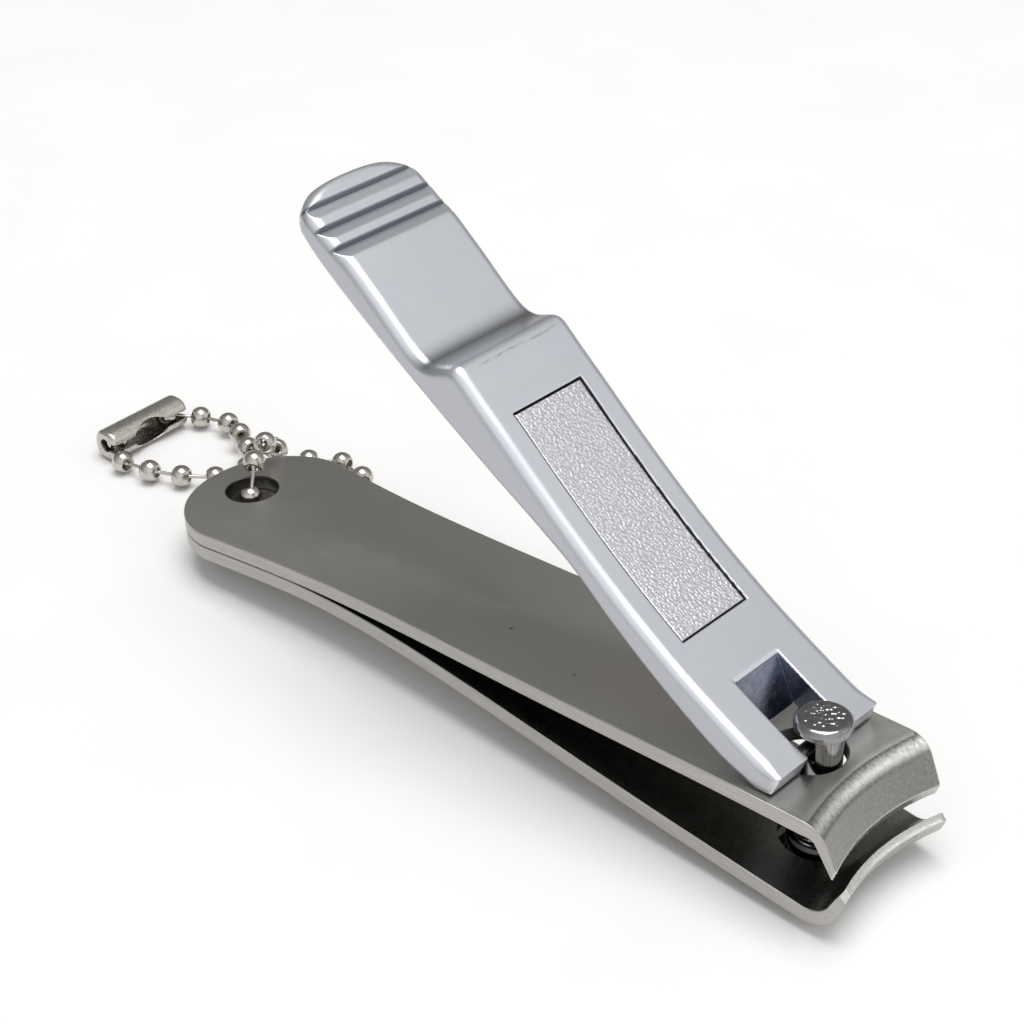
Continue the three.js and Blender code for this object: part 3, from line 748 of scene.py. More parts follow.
class Jaw:
    """A sheet that follows the jaw's curve, then a bend towards the seam, then a straight lip."""

    def __init__(self, side, bend_start, bend_r, bend_end, lip_in, lip_out, hole_x, chamfer):
        self.side, self.bend_start, self.bend_r, self.bend_end = side, bend_start, bend_r, bend_end
        self.lip_in, self.lip_out = lip_in, lip_out
        self.hole_x, self.chamfer = hole_x, chamfer
        slope = (inner_face(side, bend_start) - inner_face(side, bend_start - 0.02)) / 0.02
        self.angle0 = -side * math.atan(slope)
        self.bend_z = inner_face(side, bend_start) + side * PLATE_T / 2
        self.lip_start = bend_start + bend_r * (bend_end - self.angle0)
        self.lip_length = max(lip_in, lip_out)
        self.end = self.lip_start + self.lip_length

    def bow(self, s):
        """Bow, and how far along both, along the bend and along the lip s lies (0 to 1)."""
        bend = np.clip((s - self.bend_start) / (self.lip_start - self.bend_start), 0, 1)
        lip = np.clip((s - self.lip_start) / self.lip_length, 0, 1)
        both = bend * 2 / 3 + lip / 3
        flat = BOW * np.clip((s - BOW_START) / BOW_LENGTH, 0, 1)
        return np.where(s >= self.bend_start, BOW + BOW_LIP * both, flat), both, bend, lip

    def at(self, s, y, tau):
        """Seam-frame point of a place on the jaw."""
        s, y, tau = (np.asarray(q, float) for q in np.broadcast_arrays(s, y, tau))
        side = self.side
        bow, both, bend, lip = self.bow(s)
        y = y * (1 - 0.05 * both)
        # the curved sheet
        x0 = np.minimum(s, self.bend_start)
        slope = (inner_face(side, x0 + 0.01) - inner_face(side, x0 - 0.01)) / 0.02
        norm = np.hypot(1, slope)
        flat_x = x0 - tau * PLATE_T / 2 * side * slope / norm
        flat_z = inner_face(side, x0) + side * PLATE_T / 2 + tau * PLATE_T / 2 * side / norm
        # the bend and the lip
        angle = self.angle0 + (self.bend_end - self.angle0) * bend
        reach = lip * (self.lip_out + (self.lip_in - self.lip_out) * (1 - tau) / 2)
        offset = tau * (PLATE_T / 2 + (LIP_T - PLATE_T / 2) * (0.35 * bend + 0.65 * lip))
        bent_x = (self.bend_start + self.bend_r * (np.sin(angle) - math.sin(self.angle0))
                  + reach * np.cos(angle) + offset * np.sin(angle))
        rise = (-self.bend_r * (math.cos(self.angle0) - np.cos(angle))
                - reach * np.sin(angle) + offset * np.cos(angle))
        bent = s > self.bend_start
        x = np.where(bent, bent_x, flat_x) + bow * y * y
        z = np.where(bent, self.bend_z + side * rise, flat_z)
        return np.stack([x, y, z], -1)

    def half(self, s):
        return half_width(np.minimum(s, self.bend_start))

    def tangents(self, s, y, tau):
        """Directions along and across the sheet, and the unit normal of its outer face."""
        eps = 1e-3
        along = (self.at(s + eps, y, tau) - self.at(s - eps, y, tau)) / (2 * eps)
        across = (self.at(s, y + eps, tau) - self.at(s, y - eps, tau)) / (2 * eps)
        return along, across, unit(np.cross(along, across)) * self.side


def outline(jaw):
    """Anticlockwise outline in (s, y), from the middle of the rear end."""
    bend, end, r = jaw.bend_start, jaw.end, CORNER_R
    half = float(jaw.half(end))

    def rear(angle, sign):
        return (REAR_R - REAR_R * math.cos(angle * DEG), sign * REAR_HALF * math.sin(angle * DEG))

    points = [rear(angle, -1) for angle in np.linspace(0, 90, 25)[:-1]]
    forward = [np.arange(REAR_R, bend - 0.5, 0.9), np.linspace(bend - 0.4, end - 0.35, 22)]
    points += [(s, -float(jaw.half(s))) for s in np.concatenate(forward)]
    if jaw.chamfer:
        length, width = jaw.chamfer
        points = [p for p in points if p[0] < end - length]
        for t in np.linspace(0, 1, 7):
            swell = 0.12 * math.sin(math.pi * t)
            points.append((end - length + length * t, -half + width * t + swell))
        first_y = -half + width + 0.3
    else:
        for a in (20, 45, 70):
            points.append((end - r + r * math.sin(a * DEG), -half + r - r * math.cos(a * DEG)))
        first_y = -half + r
    points += [(end, float(y)) for y in np.linspace(first_y, half - r, 30)]
    for a in (70, 45, 20):
        points.append((end - r + r * math.sin(a * DEG), half - r + r * math.cos(a * DEG)))
    backward = [np.linspace(end - 0.35, bend - 0.4, 22), np.arange(bend - 1.0, REAR_R, -0.9)]
    points += [(s, float(jaw.half(s))) for s in np.concatenate(backward)]
    points += [rear(angle, 1) for angle in np.linspace(90, 0, 25)[:-1]]
    return np.array(points)


def hole_loop(centre, r, n, jaw=None):
    """Clockwise circle in (s, y); with a jaw, it is round once the sheet is bowed."""
    out = []
    for angle in np.linspace(0, -2 * math.pi, n, endpoint=False):
        s, y = centre + r * math.cos(angle), r * math.sin(angle)
        if jaw is not None:
            s -= float(jaw.bow(np.array(s))[0]) * y * y
        out.append((s, y))
    return np.array(out)


def into_sheet(loop):
    """Unit normals to the left of a closed loop, which point into the sheet."""
    d = np.roll(loop, -1, 0) - np.roll(loop, 1, 0)
    return unit(np.stack([-d[:, 1], d[:, 0]], 1))


def edge_profile():
    """(inset, height, angle of the normal) from the outer face round to the inner face."""
    half = PLATE_T / 2
    outer = [(EDGE_BEVEL, half, 0.0)]
    for a in (30 * DEG, 60 * DEG, 90 * DEG):
        outer.append((EDGE_BEVEL * (1 - math.sin(a)), half - EDGE_BEVEL * (1 - math.cos(a)), a))
    middle = [(0.0, half * q, 90 * DEG) for q in (0.33, -0.33)]
    return outer + middle + [(o, -t, math.pi - a) for o, t, a in reversed(outer)]


def interior_points(jaw, loops):
    """Rows of points in (s, y) inside the outline and clear of the holes."""
    rows = []
    s = 1.0
    while s < jaw.end - 0.1:
        if s > WIDTH_X[0]:
            half = jaw.half(s)
        else:
            half = REAR_HALF * math.sqrt(max(0, 1 - ((REAR_R - s) / REAR_R) ** 2))
        half -= EDGE_BEVEL + 0.3
        if half > 0.3:
            spacing = ROW_STEP if s < jaw.bend_start - 1 else 0.8
            count = max(2, int(round(2 * half / spacing)))
            rows += [(s, y) for y in np.linspace(-half, half, count + 1)]
        if s < jaw.bend_start - ROW_STEP - 0.4:
            s += ROW_STEP
        else:
            s += 0.25 if s > jaw.bend_start - 0.4 else 0.4
    rows = np.array(rows)
    keep = polygon_distance(loops[0], rows[:, 0], rows[:, 1]) < -(EDGE_BEVEL + 0.12)
    for hole in loops[1:]:
        centre = hole.mean(0)
        reach = np.linalg.norm(hole - centre, axis=1).max() + EDGE_BEVEL + 0.25
        keep &= np.hypot(rows[:, 0] - centre[0], rows[:, 1] - centre[1]) > reach
    return rows[keep]


def fill_triangles(loops, inner):
    """Triangles that fill the bevelled-in loops; they count the loop points, then the inner."""
    inset = [loop + into_sheet(loop) * EDGE_BEVEL for loop in loops]
    edges, start = [], 0
    for loop in loops:
        count = len(loop)
        edges.extend((start + i, start + (i + 1) % count) for i in range(count))
        start += count
    flat = np.vstack(inset + [inner])
    _, _, faces, origins, _, _ = delaunay_2d_cdt(
        [Vector(p) for p in flat.tolist()], edges, [], 0, 1e-6)
    source = [origin[0] if origin else None for origin in origins]
    tri = np.array([[source[i] for i in face] for face in faces
                    if len(face) == 3 and all(source[i] is not None for i in face)])
    centre = flat[tri].mean(1)
    keep = polygon_distance(inset[0], centre[:, 0], centre[:, 1]) < 0
    for hole in inset[1:]:
        keep &= polygon_distance(hole, centre[:, 0], centre[:, 1]) > 0
    return tri[keep]


def face_outward(faces, points, normals):
    """Reverses the faces that turn away from their points' normals."""
    q = points[faces]
    if faces.shape[1] == 4:
        turn = np.cross(q[:, 2] - q[:, 0], q[:, 3] - q[:, 1])
    else:
        turn = np.cross(q[:, 1] - q[:, 0], q[:, 2] - q[:, 0])
    bad = (turn * normals[faces].sum(1)).sum(1) < 0
    faces[bad] = faces[bad][:, ::-1]
    return faces.tolist()


def sheet(jaw, loops):
    """Points, faces, normals, dev and face kinds of a jaw; loops are the outline, then holes."""
    half = PLATE_T / 2
    profile = edge_profile()
    points, normals, dev, quads, kinds = [], [], [], [], []
    outer_ids, inner_ids = [], []
    start = 0
    for number, loop in enumerate(loops):
        inward = into_sheet(loop)
        count = len(loop)
        for inset, height, angle in profile:
            flat = loop + inward * inset
            place = flat[:, 0], flat[:, 1], height / half
            along, across, face = jaw.tangents(*place)
            out = unit(-(along * inward[:, :1] + across * inward[:, 1:]))
            out = unit(out - (out * face).sum(1, keepdims=True) * face)
            points.append(jaw.at(*place))
            normals.append(face * math.cos(angle) + out * math.sin(angle))
            dev.append(np.column_stack([flat, np.full(count, height)]))
        last = start + (len(profile) - 1) * count
        for ring in range(start, last, count):
            for i in range(count):
                j = (i + 1) % count
                quads.append((ring + i, ring + j, ring + count + j, ring + count + i))
                kinds.append(HOLE_WALL if number else EDGE)
        outer_ids.extend(range(start, start + count))
        inner_ids.extend(range(last, last + count))
        start = last + count
    inner = interior_points(jaw, loops)
    for tau, ids in ((1.0, outer_ids), (-1.0, inner_ids)):
        place = inner[:, 0], inner[:, 1], tau
        points.append(jaw.at(*place))
        normals.append(jaw.tangents(*place)[2] * tau)
        dev.append(np.column_stack([inner, np.full(len(inner), tau * half)]))
        ids.extend(range(start, start + len(inner)))
        start += len(inner)
    tri = fill_triangles(loops, inner)
    both = np.stack([np.array(outer_ids)[tri], np.array(inner_ids)[tri]], 1).reshape(-1, 3)
    kinds += [OUTER, INNER] * len(tri)
    points, normals, dev = np.vstack(points), np.vstack(normals), np.vstack(dev)
    faces = face_outward(np.array(quads), points, normals) + face_outward(both, points, normals)
    return points, faces, normals, dev, kinds


FACE_SLOT, EDGE_SLOT, LIP_SLOT, GRIND_SLOT, INNER_SLOT = range(5)


def jaw_slot(jaw, kind, s):
    """Material slot of a face of the given kind at s."""
    if kind == EDGE:
        return GRIND_SLOT if s > jaw.end - 0.4 else EDGE_SLOT
    if kind == OUTER:
        return LIP_SLOT if s > jaw.bend_start + 0.25 and jaw.side > 0 else FACE_SLOT
    return INNER_SLOT


def make_jaw(side, name, node, mats):
    jaw = Jaw(side, **JAW_SIZES[side])
    middle_z = float(inner_face(side, jaw.hole_x)) + side * PLATE_T / 2
    # the post leans, so its hole shifts with height
    post_hole = jaw.hole_x - 0.3 + 0.42 * (middle_z + 13) / 17
    loops = [
        outline(jaw),
        hole_loop(CHAIN_HOLE_X, CHAIN_HOLE_R, 64),
        hole_loop(post_hole, POST_HOLE_R, 72, jaw),
    ]
    points, faces, normals, dev, kinds = sheet(jaw, loops)
    index = [jaw_slot(jaw, kind, dev[face, 0].mean()) for face, kind in zip(faces, kinds)]
    upper = side > 0
    ob = build(name, points, faces, node, mats, dev, index, normals, ride=not upper)
    if upper:
        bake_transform(ob)


jaw_mats = [steel_face(), steel_edge(), steel_lip(), steel_grind(), steel_inner()]
make_jaw(-1, "lower_arm", "lower_jaw", jaw_mats)
make_jaw(1, "upper_arm", "upper_jaw", jaw_mats)

# ------------------------------------------------------------------ post
POST_X, POST_Z = 76.96, 0.468       # origin of the post frame, in the seam frame
SHANK_R, HEAD_R, POST_TOP = 1.82, 2.55, 4.25
NOTCH_FRONT, NOTCH_HALF = 0.92, 0.9  # notch past the pin's axis, and half its height
DENT_AREA_R = 1.75                  # dents lie within this radius on top


def arc(cx, cz, r, start, end, n):
    """Points on an arc, angles in degrees."""
    angles = np.linspace(start, end, n) * DEG
    return [(cx + r * math.cos(t), cz + r * math.sin(t)) for t in angles]


def post_outline():
    """Closed section of the post in (radius, z), with its mirror image."""
    right = [(0, -11.0), (3.3, -11.0)]
    # the foot's rim
    right += arc(3.4, -10.68, 0.5, -70, 0, 5)[1:]
    right += arc(3.62, -10.6, 0.28, 0, 80, 4)
    # the foot's collar and shoulder
    right += [(2.95, -10.35)]
    right += arc(3.0, -10.1, 0.25, 270, 180, 4)
    right += [(2.75, -8.7)]
    right += arc(2.05, -8.45, 0.7, 0, 78, 7)
    # the shank
    right += [(1.9, -7.75)]
    right += arc(1.9, -7.5, 0.25, 270, 180, 3)
    right += [(SHANK_R, 2.45)]
    right += arc(SHANK_R + 0.3, 2.75, 0.3, 180, 135, 3)
    # the head
    right += [(2.36, 3.08)]
    right += arc(HEAD_R - 0.26, 3.32, 0.26, -60, 0, 4)
    right += arc(HEAD_R - 0.58, POST_TOP - 0.62, 0.58, 0, 84, 9)
    right += [(1.2, POST_TOP - 0.005), (0, POST_TOP)]
    return np.array(right + [(-r, z) for r, z in reversed(right[1:-1])])


def draw_dents(rng, count):
    """(x, y, radius, depth) of the dents on top."""
    dents = []
    for _ in range(count):
        r, angle = DENT_AREA_R * math.sqrt(rng.rand()), 2 * math.pi * rng.rand()
        size = rng.uniform(0.13, 0.3)
        rng.uniform(0.35, 0.75)     # a spare draw that keeps the sequence
        dents.append((r * math.cos(angle), r * math.sin(angle), size, rng.uniform(0.03, 0.085)))
    return dents


post_section = DistanceTable(post_outline(), step=0.05, pad=1.5)
post_dents = draw_dents(np.random.RandomState(7), 60)


def post_field(p):
    d = post_section(np.hypot(p[:, 0], p[:, 1]), p[:, 2])
    # notch round the cross pin, open to the rear
    notch_x = p[:, 0] - (PIN_X - POST_X + NOTCH_FRONT)
    notch_z = np.abs(p[:, 2] - (PIN_Z - POST_Z)) - NOTCH_HALF
    d = carve(d, np.maximum(notch_x, notch_z), 0.1)
    top = p[:, 2] > POST_TOP - 0.8
    q = p[top]
    sink = np.zeros(len(q))
    for x, y, size, depth in post_dents:
        r = np.hypot(q[:, 0] - x, q[:, 1] - y) / size
        sink = np.maximum(sink, depth * np.clip(1 - r * r, 0, 1) ** 0.8)
    d[top] += sink
    return d


def make_post():
    axis = np.array(JOINT["post_swivel"]["axis"], float)
    origin = np.array(JOINT["post_swivel"]["pos_m"], float) * 1000
    turn = np.stack([unit([axis[2], 0, -axis[0]]), [0.0, 1.0, 0.0], axis], 1)
    points, quads, normals = implicit(
        post_field, (-4.1, -4.1, -11.3), (4.1, 4.1, 4.6), cell=0.115, relax=1)
    build("post_chromed", points @ turn.T + origin, quads, "post",
          [post_chrome()], points, normals=normals @ turn.T, in_row=True)


make_post()


# ------------------------------------------------------------------ cross pin
def make_pin():
    round_r = 0.2           # rounding of the ends
    end = -PIN_HALF + 0.3
    half = [(0, end), (0.3, end)]
    for a in (20 * DEG, 45 * DEG, 70 * DEG, 90 * DEG):
        half.append((PIN_R - round_r + round_r * math.sin(a),
                     end + round_r - round_r * math.cos(a)))
    profile = half + [(r, -h) for r, h in reversed(half)]
    points, faces = lathe(profile, 40, np.array([PIN_X, 0, PIN_Z]), (0, 1, 0))
    # the pin's dark base colour is painted shade, for where it sits between the post and the fork
    build("cross_pin_polished", points, faces, "cross_pin",
          [chrome("pin_steel_painted_shade", base=(0.16, 0.16, 0.17), rough=0.3)], points)


make_pin()

# ------------------------------------------------------------------ lever shape
# Side view of the lever as seam-frame (x, z), before SCALE.
DECK = [                    # upper side from the step down to the fork
    (42.5, 27.85), (43.2, 27.2), (44.5, 25.9), (47.1, 23.4), (49.7, 20.85), (52.4, 18.3),
    (55.15, 15.8), (58.3, 13.1), (61.55, 10.55), (65.0, 8.05), (68.65, 5.7), (72.5, 3.4),
    (74.75, 2.35),
]
STEP = [                    # the hollow and the step, followed by the deck
    (33.5, 31.85), (35.6, 29.8), (36.9, 28.6), (37.8, 27.95), (38.6, 27.66), (39.55, 27.66),
    (40.6, 27.92), (41.35, 28.13), (41.95, 28.12),
] + DECK
FORK_END = [(74.05, 0.72)]
UNDERSIDE = [               # from the fork up to the thumb end
    (73.6, 0.62), (72.9, 0.6), (71.8, 0.75), (68.9, 2.05), (65.2, 4.47), (61.4, 7.3),
    (57.9, 10.2), (54.7, 13.1), (53.1, 14.42), (49.5, 16.95), (45.8, 19.4), (42.2, 21.9),
    (38.6, 24.45), (35, 27.07), (31.5, 29.75), (28.2, 32.4), (26.4, 34.0), (24.9, 35.6),
    (23.8, 37.0), (23.45, 38.2),
]
SLOT = [                    # slot between the fork's arms
    (66.9, 8.2), (67.35, 6.55), (69.4, 1.4), (69.4, -2), (80, -2), (80, 8.2),
]
# Thumb end, full size, as lever-frame (a, b).
THUMB = [
    (11.25, 45.6), (11.2, 46.05), (10.9, 46.45), (10.3, 46.66), (9.42, 46.8), (8.02, 46.93),
    (7.12, 47.05), (5.8, 47.26), (4.95, 47.4), (3.56, 47.72), (2.6, 47.88), (-1.0, 48.04),
]
GROOVES = [                 # cuts that leave the thumb ribs
    [(9.42, 46.8), (9.14, 46.26), (7.9, 46.96), (7.9, 49), (9.42, 49)],
    [(7.12, 47.05), (6.86, 46.48), (5.65, 47.29), (5.65, 49), (7.12, 49)],
    [(4.95, 47.4), (4.69, 46.86), (3.45, 47.75), (3.45, 49.5), (4.95, 49.5)],
]
# Height b that parts the underside's edge radius from the deck's, by station -a.
MIDDLE_STATION = [-11, 0, 10, 12, 33, 54]
MIDDLE_B = [45.2, 46.3, 47.4, 48.0, 51.2, 55.4]
EDGE_R, EDGE_R_DECK = 0.75, 0.4     # edge radius, and what it gains towards the deck
THUMB_R = 3.7 * SCALE               # length of the thumb end's rounding in plan
THUMB_A = 11.2 * SCALE - THUMB_R
THUMB_HALF = 6.75 * SCALE           # half width at the thumb end
FORK_HALF = 6.95 + 0.34 * (78 - 41.6) / 41.6
FORK_A = -56 * SCALE
FILE_HALF = 4.33                    # half width of the file recess
SLOT_HALF = 2.9


def scaled_ab(points):
    """A seam-frame table to full-size lever-frame points."""
    p = np.asarray(points, float) * SCALE
    return np.stack(lever_ab(p[:, 0], p[:, 1]), 1)


DECK_CURVE = smooth_line(np.array(DECK) * SCALE, 0.2)


def deck_line(start, end, n):
    """x, z and slope along the deck between two unscaled stations."""
    x = np.linspace(start, end, n) * SCALE
    z = np.interp(x, DECK_CURVE[:, 0], DECK_CURVE[:, 1])
    return x, z, np.gradient(z, x)


def deck_band(start, end, low, high):
    """Region in (a, b) that follows the deck, from offset low to offset high square to it."""
    x, z, slope = deck_line(start, end, 26)
    norm = np.hypot(1, slope)
    sides = [np.stack([x - slope / norm * d, z + d / norm], 1) for d in (low, high)]
    band = np.vstack([sides[0], sides[1][::-1]])
    return np.stack(lever_ab(band[:, 0], band[:, 1]), 1)


def lever_profile():
    step = smooth_line(scaled_ab(STEP), 0.35)
    step = step[step[:, 0] < -1.2]
    underside = smooth_line(scaled_ab(UNDERSIDE), 0.6)
    return np.vstack([smooth_line(THUMB, 0.3), step, scaled_ab(FORK_END), underside])


def lever_plan():
    """Outline in (a, y)."""
    thumb = [(THUMB_A + THUMB_R * math.cos(t), THUMB_HALF * math.sin(t))
             for t in np.linspace(-90, 90, 33) * DEG]
    return np.array(thumb + [(FORK_A, FORK_HALF), (FORK_A, -FORK_HALF)])


profile_at = DistanceTable(lever_profile(), step=0.04, pad=2.0)
plan_at = DistanceTable(lever_plan(), step=0.15, pad=2.0)
recess_at = DistanceTable(deck_band(46.0, 63.35, low=-0.75, high=1.4), step=0.06, pad=3.0)
slot_at = DistanceTable(scaled_ab(SLOT), step=0.08, pad=3.0)
grooves_at = [DistanceTable(groove, step=0.03, pad=2.5) for groove in GROOVES]
PIN_A, PIN_B = lever_ab(PIN_X, PIN_Z)


def recess_distance(p):
    return np.maximum(recess_at(p[:, 0], p[:, 2]), np.abs(p[:, 1]) - FILE_HALF)


def slot_distance(p):
    return np.maximum(slot_at(p[:, 0], p[:, 2]), np.abs(p[:, 1]) - SLOT_HALF)


def lever_field(p):
    a, y, b = p[:, 0], p[:, 1], p[:, 2]
    w = np.clip((b - np.interp(-a, MIDDLE_STATION, MIDDLE_B)) / 1.2 * 0.5 + 0.5, 0, 1)
    r = EDGE_R + EDGE_R_DECK * w * w * (3 - 2 * w)
    r = r * np.clip((a + 55.5) / 4.0, 0.35, 1)      # sharper towards the fork's end
    d = rounded_overlap(profile_at(a, b), plan_at(a, y), r)
    d = carve(d, recess_distance(p), 0.1)
    d = carve(d, slot_distance(p), 0.22)
    for groove in grooves_at:
        d = carve(d, groove(a, b), 0.05)
    pin_seat = np.maximum(np.hypot(a - PIN_A, b - PIN_B) - (PIN_R + 0.06),
                          np.abs(y) - (PIN_HALF - 0.1))
    return carve(d, pin_seat, 0.1)


def make_lever():
    points, quads, normals = implicit(
        lever_field, (-54.8, -7.9, 43.6), (12.2, 7.9, 57.8), cell=0.14, relax=2)
    centre = points[quads].mean(1)
    depth = profile_at(centre[:, 0], centre[:, 2])
    in_recess = (recess_distance(centre) < 0.09) & (depth < -0.1)
    in_slot = (slot_distance(centre) < 0.06) & (depth < -0.12)
    index = np.where(in_recess, 2, np.where(in_slot, 1, 0))
    # the lever frame is mirrored, so the quads are reversed
    build("lever_cast", lever_to_seam(points), quads[:, ::-1], "lever",
          [lever_satin(), slot_wall(), recess_shadow()], points, index, lever_to_seam(normals))


make_lever()

# ------------------------------------------------------------------ file plate
PLATE_START, PLATE_END = 46.12, 63.23   # along the deck, before SCALE
PLATE_HALF = FILE_HALF - 0.14
GRID_STEP = 0.085
PLATE_TOP, PLATE_BOTTOM = -0.16, -0.6   # offsets square to the deck
GRAIN_PITCH, GRAIN_R, GRAIN_HEIGHT = 0.29, 0.135, 0.045


def grain_height(u, w, length):
    """Height, 0 to 1, of close-set raised grains on a jittered grid."""
    rng = np.random.RandomState(11)
    count = (int(length / GRAIN_PITCH) + 3, int(2 * PLATE_HALF / GRAIN_PITCH) + 3)
    jitter_u = rng.uniform(-0.38, 0.38, count)
    jitter_w = rng.uniform(-0.38, 0.38, count)
    tall = rng.uniform(0.45, 1.0, count)
    cell_u = np.floor(u / GRAIN_PITCH).astype(int) + 1
    cell_w = np.floor((w + PLATE_HALF) / GRAIN_PITCH).astype(int) + 1
    height = np.zeros_like(u)
    for di in (-1, 0, 1):
        for dj in (-1, 0, 1):
            i = np.clip(cell_u + di, 0, count[0] - 1)
            j = np.clip(cell_w + dj, 0, count[1] - 1)
            centre_u = (i - 1 + 0.5 + jitter_u[i, j]) * GRAIN_PITCH
            centre_w = (j - 1 + 0.5 + jitter_w[i, j]) * GRAIN_PITCH - PLATE_HALF
            r = np.hypot(u - centre_u, w - centre_w) / GRAIN_R
            height = np.maximum(height, tall[i, j] * np.clip(1 - r * r, 0, 1))
    return height


def make_file_plate():
    x, z, slope = deck_line(PLATE_START, PLATE_END, 400)
    travel = np.concatenate([[0], np.cumsum(np.hypot(np.diff(x), np.diff(z)))])
    length = travel[-1]
    u, w = np.meshgrid(
        np.linspace(0, length, int(length / GRID_STEP) + 1),
        np.linspace(-PLATE_HALF, PLATE_HALF, int(2 * PLATE_HALF / GRID_STEP) + 1),
        indexing="ij")
    height = grain_height(u, w, length)
    edge = np.minimum(np.minimum(u, length - u), PLATE_HALF - np.abs(w))
    fade = np.clip(edge / 0.15, 0, 1)
    drop = 0.1 * (1 - np.sqrt(np.clip(edge / 0.1, 0, 1)))       # rounded rim
    slope_u = np.interp(u, travel, slope)
    norm = np.hypot(1, slope_u)

    def offset(distance):
        return np.stack([np.interp(u, travel, x) - slope_u / norm * distance, w,
                         np.interp(u, travel, z) + distance / norm], -1).reshape(-1, 3)

    top = offset(PLATE_TOP + GRAIN_HEIGHT * height * fade - drop)
    grid = np.arange(u.size).reshape(u.shape)
    rim = np.concatenate([grid[:, 0], grid[-1, 1:], grid[-2::-1, -1], grid[0, -2:0:-1]])
    under = offset(PLATE_BOTTOM)[rim]
    points = np.vstack([top, under, under.mean(0)])
    dev = np.vstack([
        np.stack([u, w, height], -1).reshape(-1, 3),
        np.stack([u, w, 0 * height], -1).reshape(-1, 3)[rim],
        [0, 0, 0],
    ])
    faces = np.stack([grid[:-1, :-1], grid[1:, :-1], grid[1:, 1:], grid[:-1, 1:]], -1)
    faces = faces.reshape(-1, 4).tolist()
    # walls, then a fan that closes the underside
    count, low = len(rim), len(top)
    turn = [(k, (k + 1) % count) for k in range(count)]
    faces += [(rim[j], rim[k], low + k, low + j) for k, j in turn]
    faces += [(low + j, low + k, low + count) for k, j in turn]
    build("file_plate_etched", points, faces, "nail_file", [file_grit()], dev)


make_file_plate()

# ------------------------------------------------------------------ ball chain
BEADS = 25
BEAD_R, BORE_R = 1.2, 0.68
BEAD_WALL = 0.2
LIP_R = 0.1                 # rounding of the bore's rim


def bead_centre(number):
    low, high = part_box(f"chain_bead_{number:02d}")
    return np.array((low + high) / 2) * 1000


centres = np.array([bead_centre(number) for number in range(1, BEADS + 1)])
NICKEL = (0.60, 0.58, 0.525)
nickel = chrome("bright_nickel", base=NICKEL, rough=0.13, distance=0.000012)
wire_nickel = chrome("nickel_wire", base=(0.55, 0.52, 0.47), rough=0.22)


def bead_profile():
    """A hollow ball's section with rounded bore rims, closed on itself."""
    start = math.asin((BORE_R + LIP_R) / BEAD_R)
    inner_start = start + 0.32
    inner_r = BEAD_R - BEAD_WALL
    h = BEAD_R * math.cos(start)
    outer = [(BEAD_R * math.sin(t), -BEAD_R * math.cos(t))
             for t in np.linspace(start, math.pi - start, 22)]
    lip = [(BORE_R + LIP_R * math.cos(t), h - 0.05 + LIP_R * math.sin(t) * 0.7)
           for t in np.linspace(0.6, math.pi, 5)]
    bore = [(BORE_R, h - 0.12), (BORE_R + 0.2, h - 0.3)]
    inner = [(inner_r * math.sin(t), inner_r * math.cos(t))
             for t in np.linspace(inner_start, math.pi - inner_start, 9)]
    return outer + lip + bore + inner + [(r, -z) for r, z in reversed(lip + bore)]


def make_beads():
    profile = bead_profile()
    steps = unit(np.diff(centres, axis=0))
    for i, centre in enumerate(centres):
        # the bore points along the chain, halfway between its two neighbours
        direction = steps[max(i - 1, 0)] + steps[min(i, len(steps) - 1)]
        points, faces = lathe(profile, 32, centre, direction)
        number = f"{i + 1:02d}"
        build(f"ball_{number}", points, faces, f"chain_bead_{number}", [nickel],
              points, in_row=True)


def make_wires():
    """Dumbbell links; their heads sit inside the beads."""
    half = [(0, 0.2), (0.3, 0.24), (0.42, 0.4), (0.4, 0.55), (0.25, 0.72), (0.2, 0.95),
            (0.195, 1.4)]
    for i, (start, end) in enumerate(zip(centres[:-1], centres[1:])):
        length = np.linalg.norm(end - start)
        profile = half + [(r, length - h) for r, h in reversed(half)]
        points, faces = lathe(profile, 16, start, end - start)
        number = f"{i + 1:02d}"
        build(f"wire_{number}", points, faces, f"chain_link_{number}",
              [wire_nickel], points, in_row=True)


make_beads()
make_wires()

# ------------------------------------------------------------------ chain connector
# A folded tube from the last bead to the first, built in its own frame: x towards its mouth,
# y along it.
TUBE_R, TUBE_WALL = 1.72, 0.28
TUBE_HALF = np.linalg.norm(centres[0] - centres[-1]) / 2 + 1.62
MOUTH_Z = 0.1


def connector_field(p):
    x, y, z = p[:, 0], np.abs(p[:, 1]), p[:, 2]
    r = (np.abs(x) ** 2.5 + np.abs(z) ** 2.5) ** 0.4        # slightly squared section
    outer = rounded_overlap(r - TUBE_R, y - TUBE_HALF, 0.5)
    inner = rounded_overlap(r - (TUBE_R - TUBE_WALL), y - (TUBE_HALF - TUBE_WALL), 0.35)
    d = carve(outer, inner, 0.12)
    # mouth: wide in the middle, pinched towards both ends
    width = 0.48 + 0.85 * np.clip(1 - (y / 2.35) ** 2, 0, 1) ** 0.7
    mouth = np.maximum(np.abs(z - MOUTH_Z) - width, -(x - 0.15))
    d = carve(d, mouth * 0.8, 0.15)
    # round hole through each end
    end_hole = np.maximum(np.hypot(x, z - MOUTH_Z) - 0.74, -(y - (TUBE_HALF - 1)))
    return carve(d, end_hole, 0.1) * 0.95


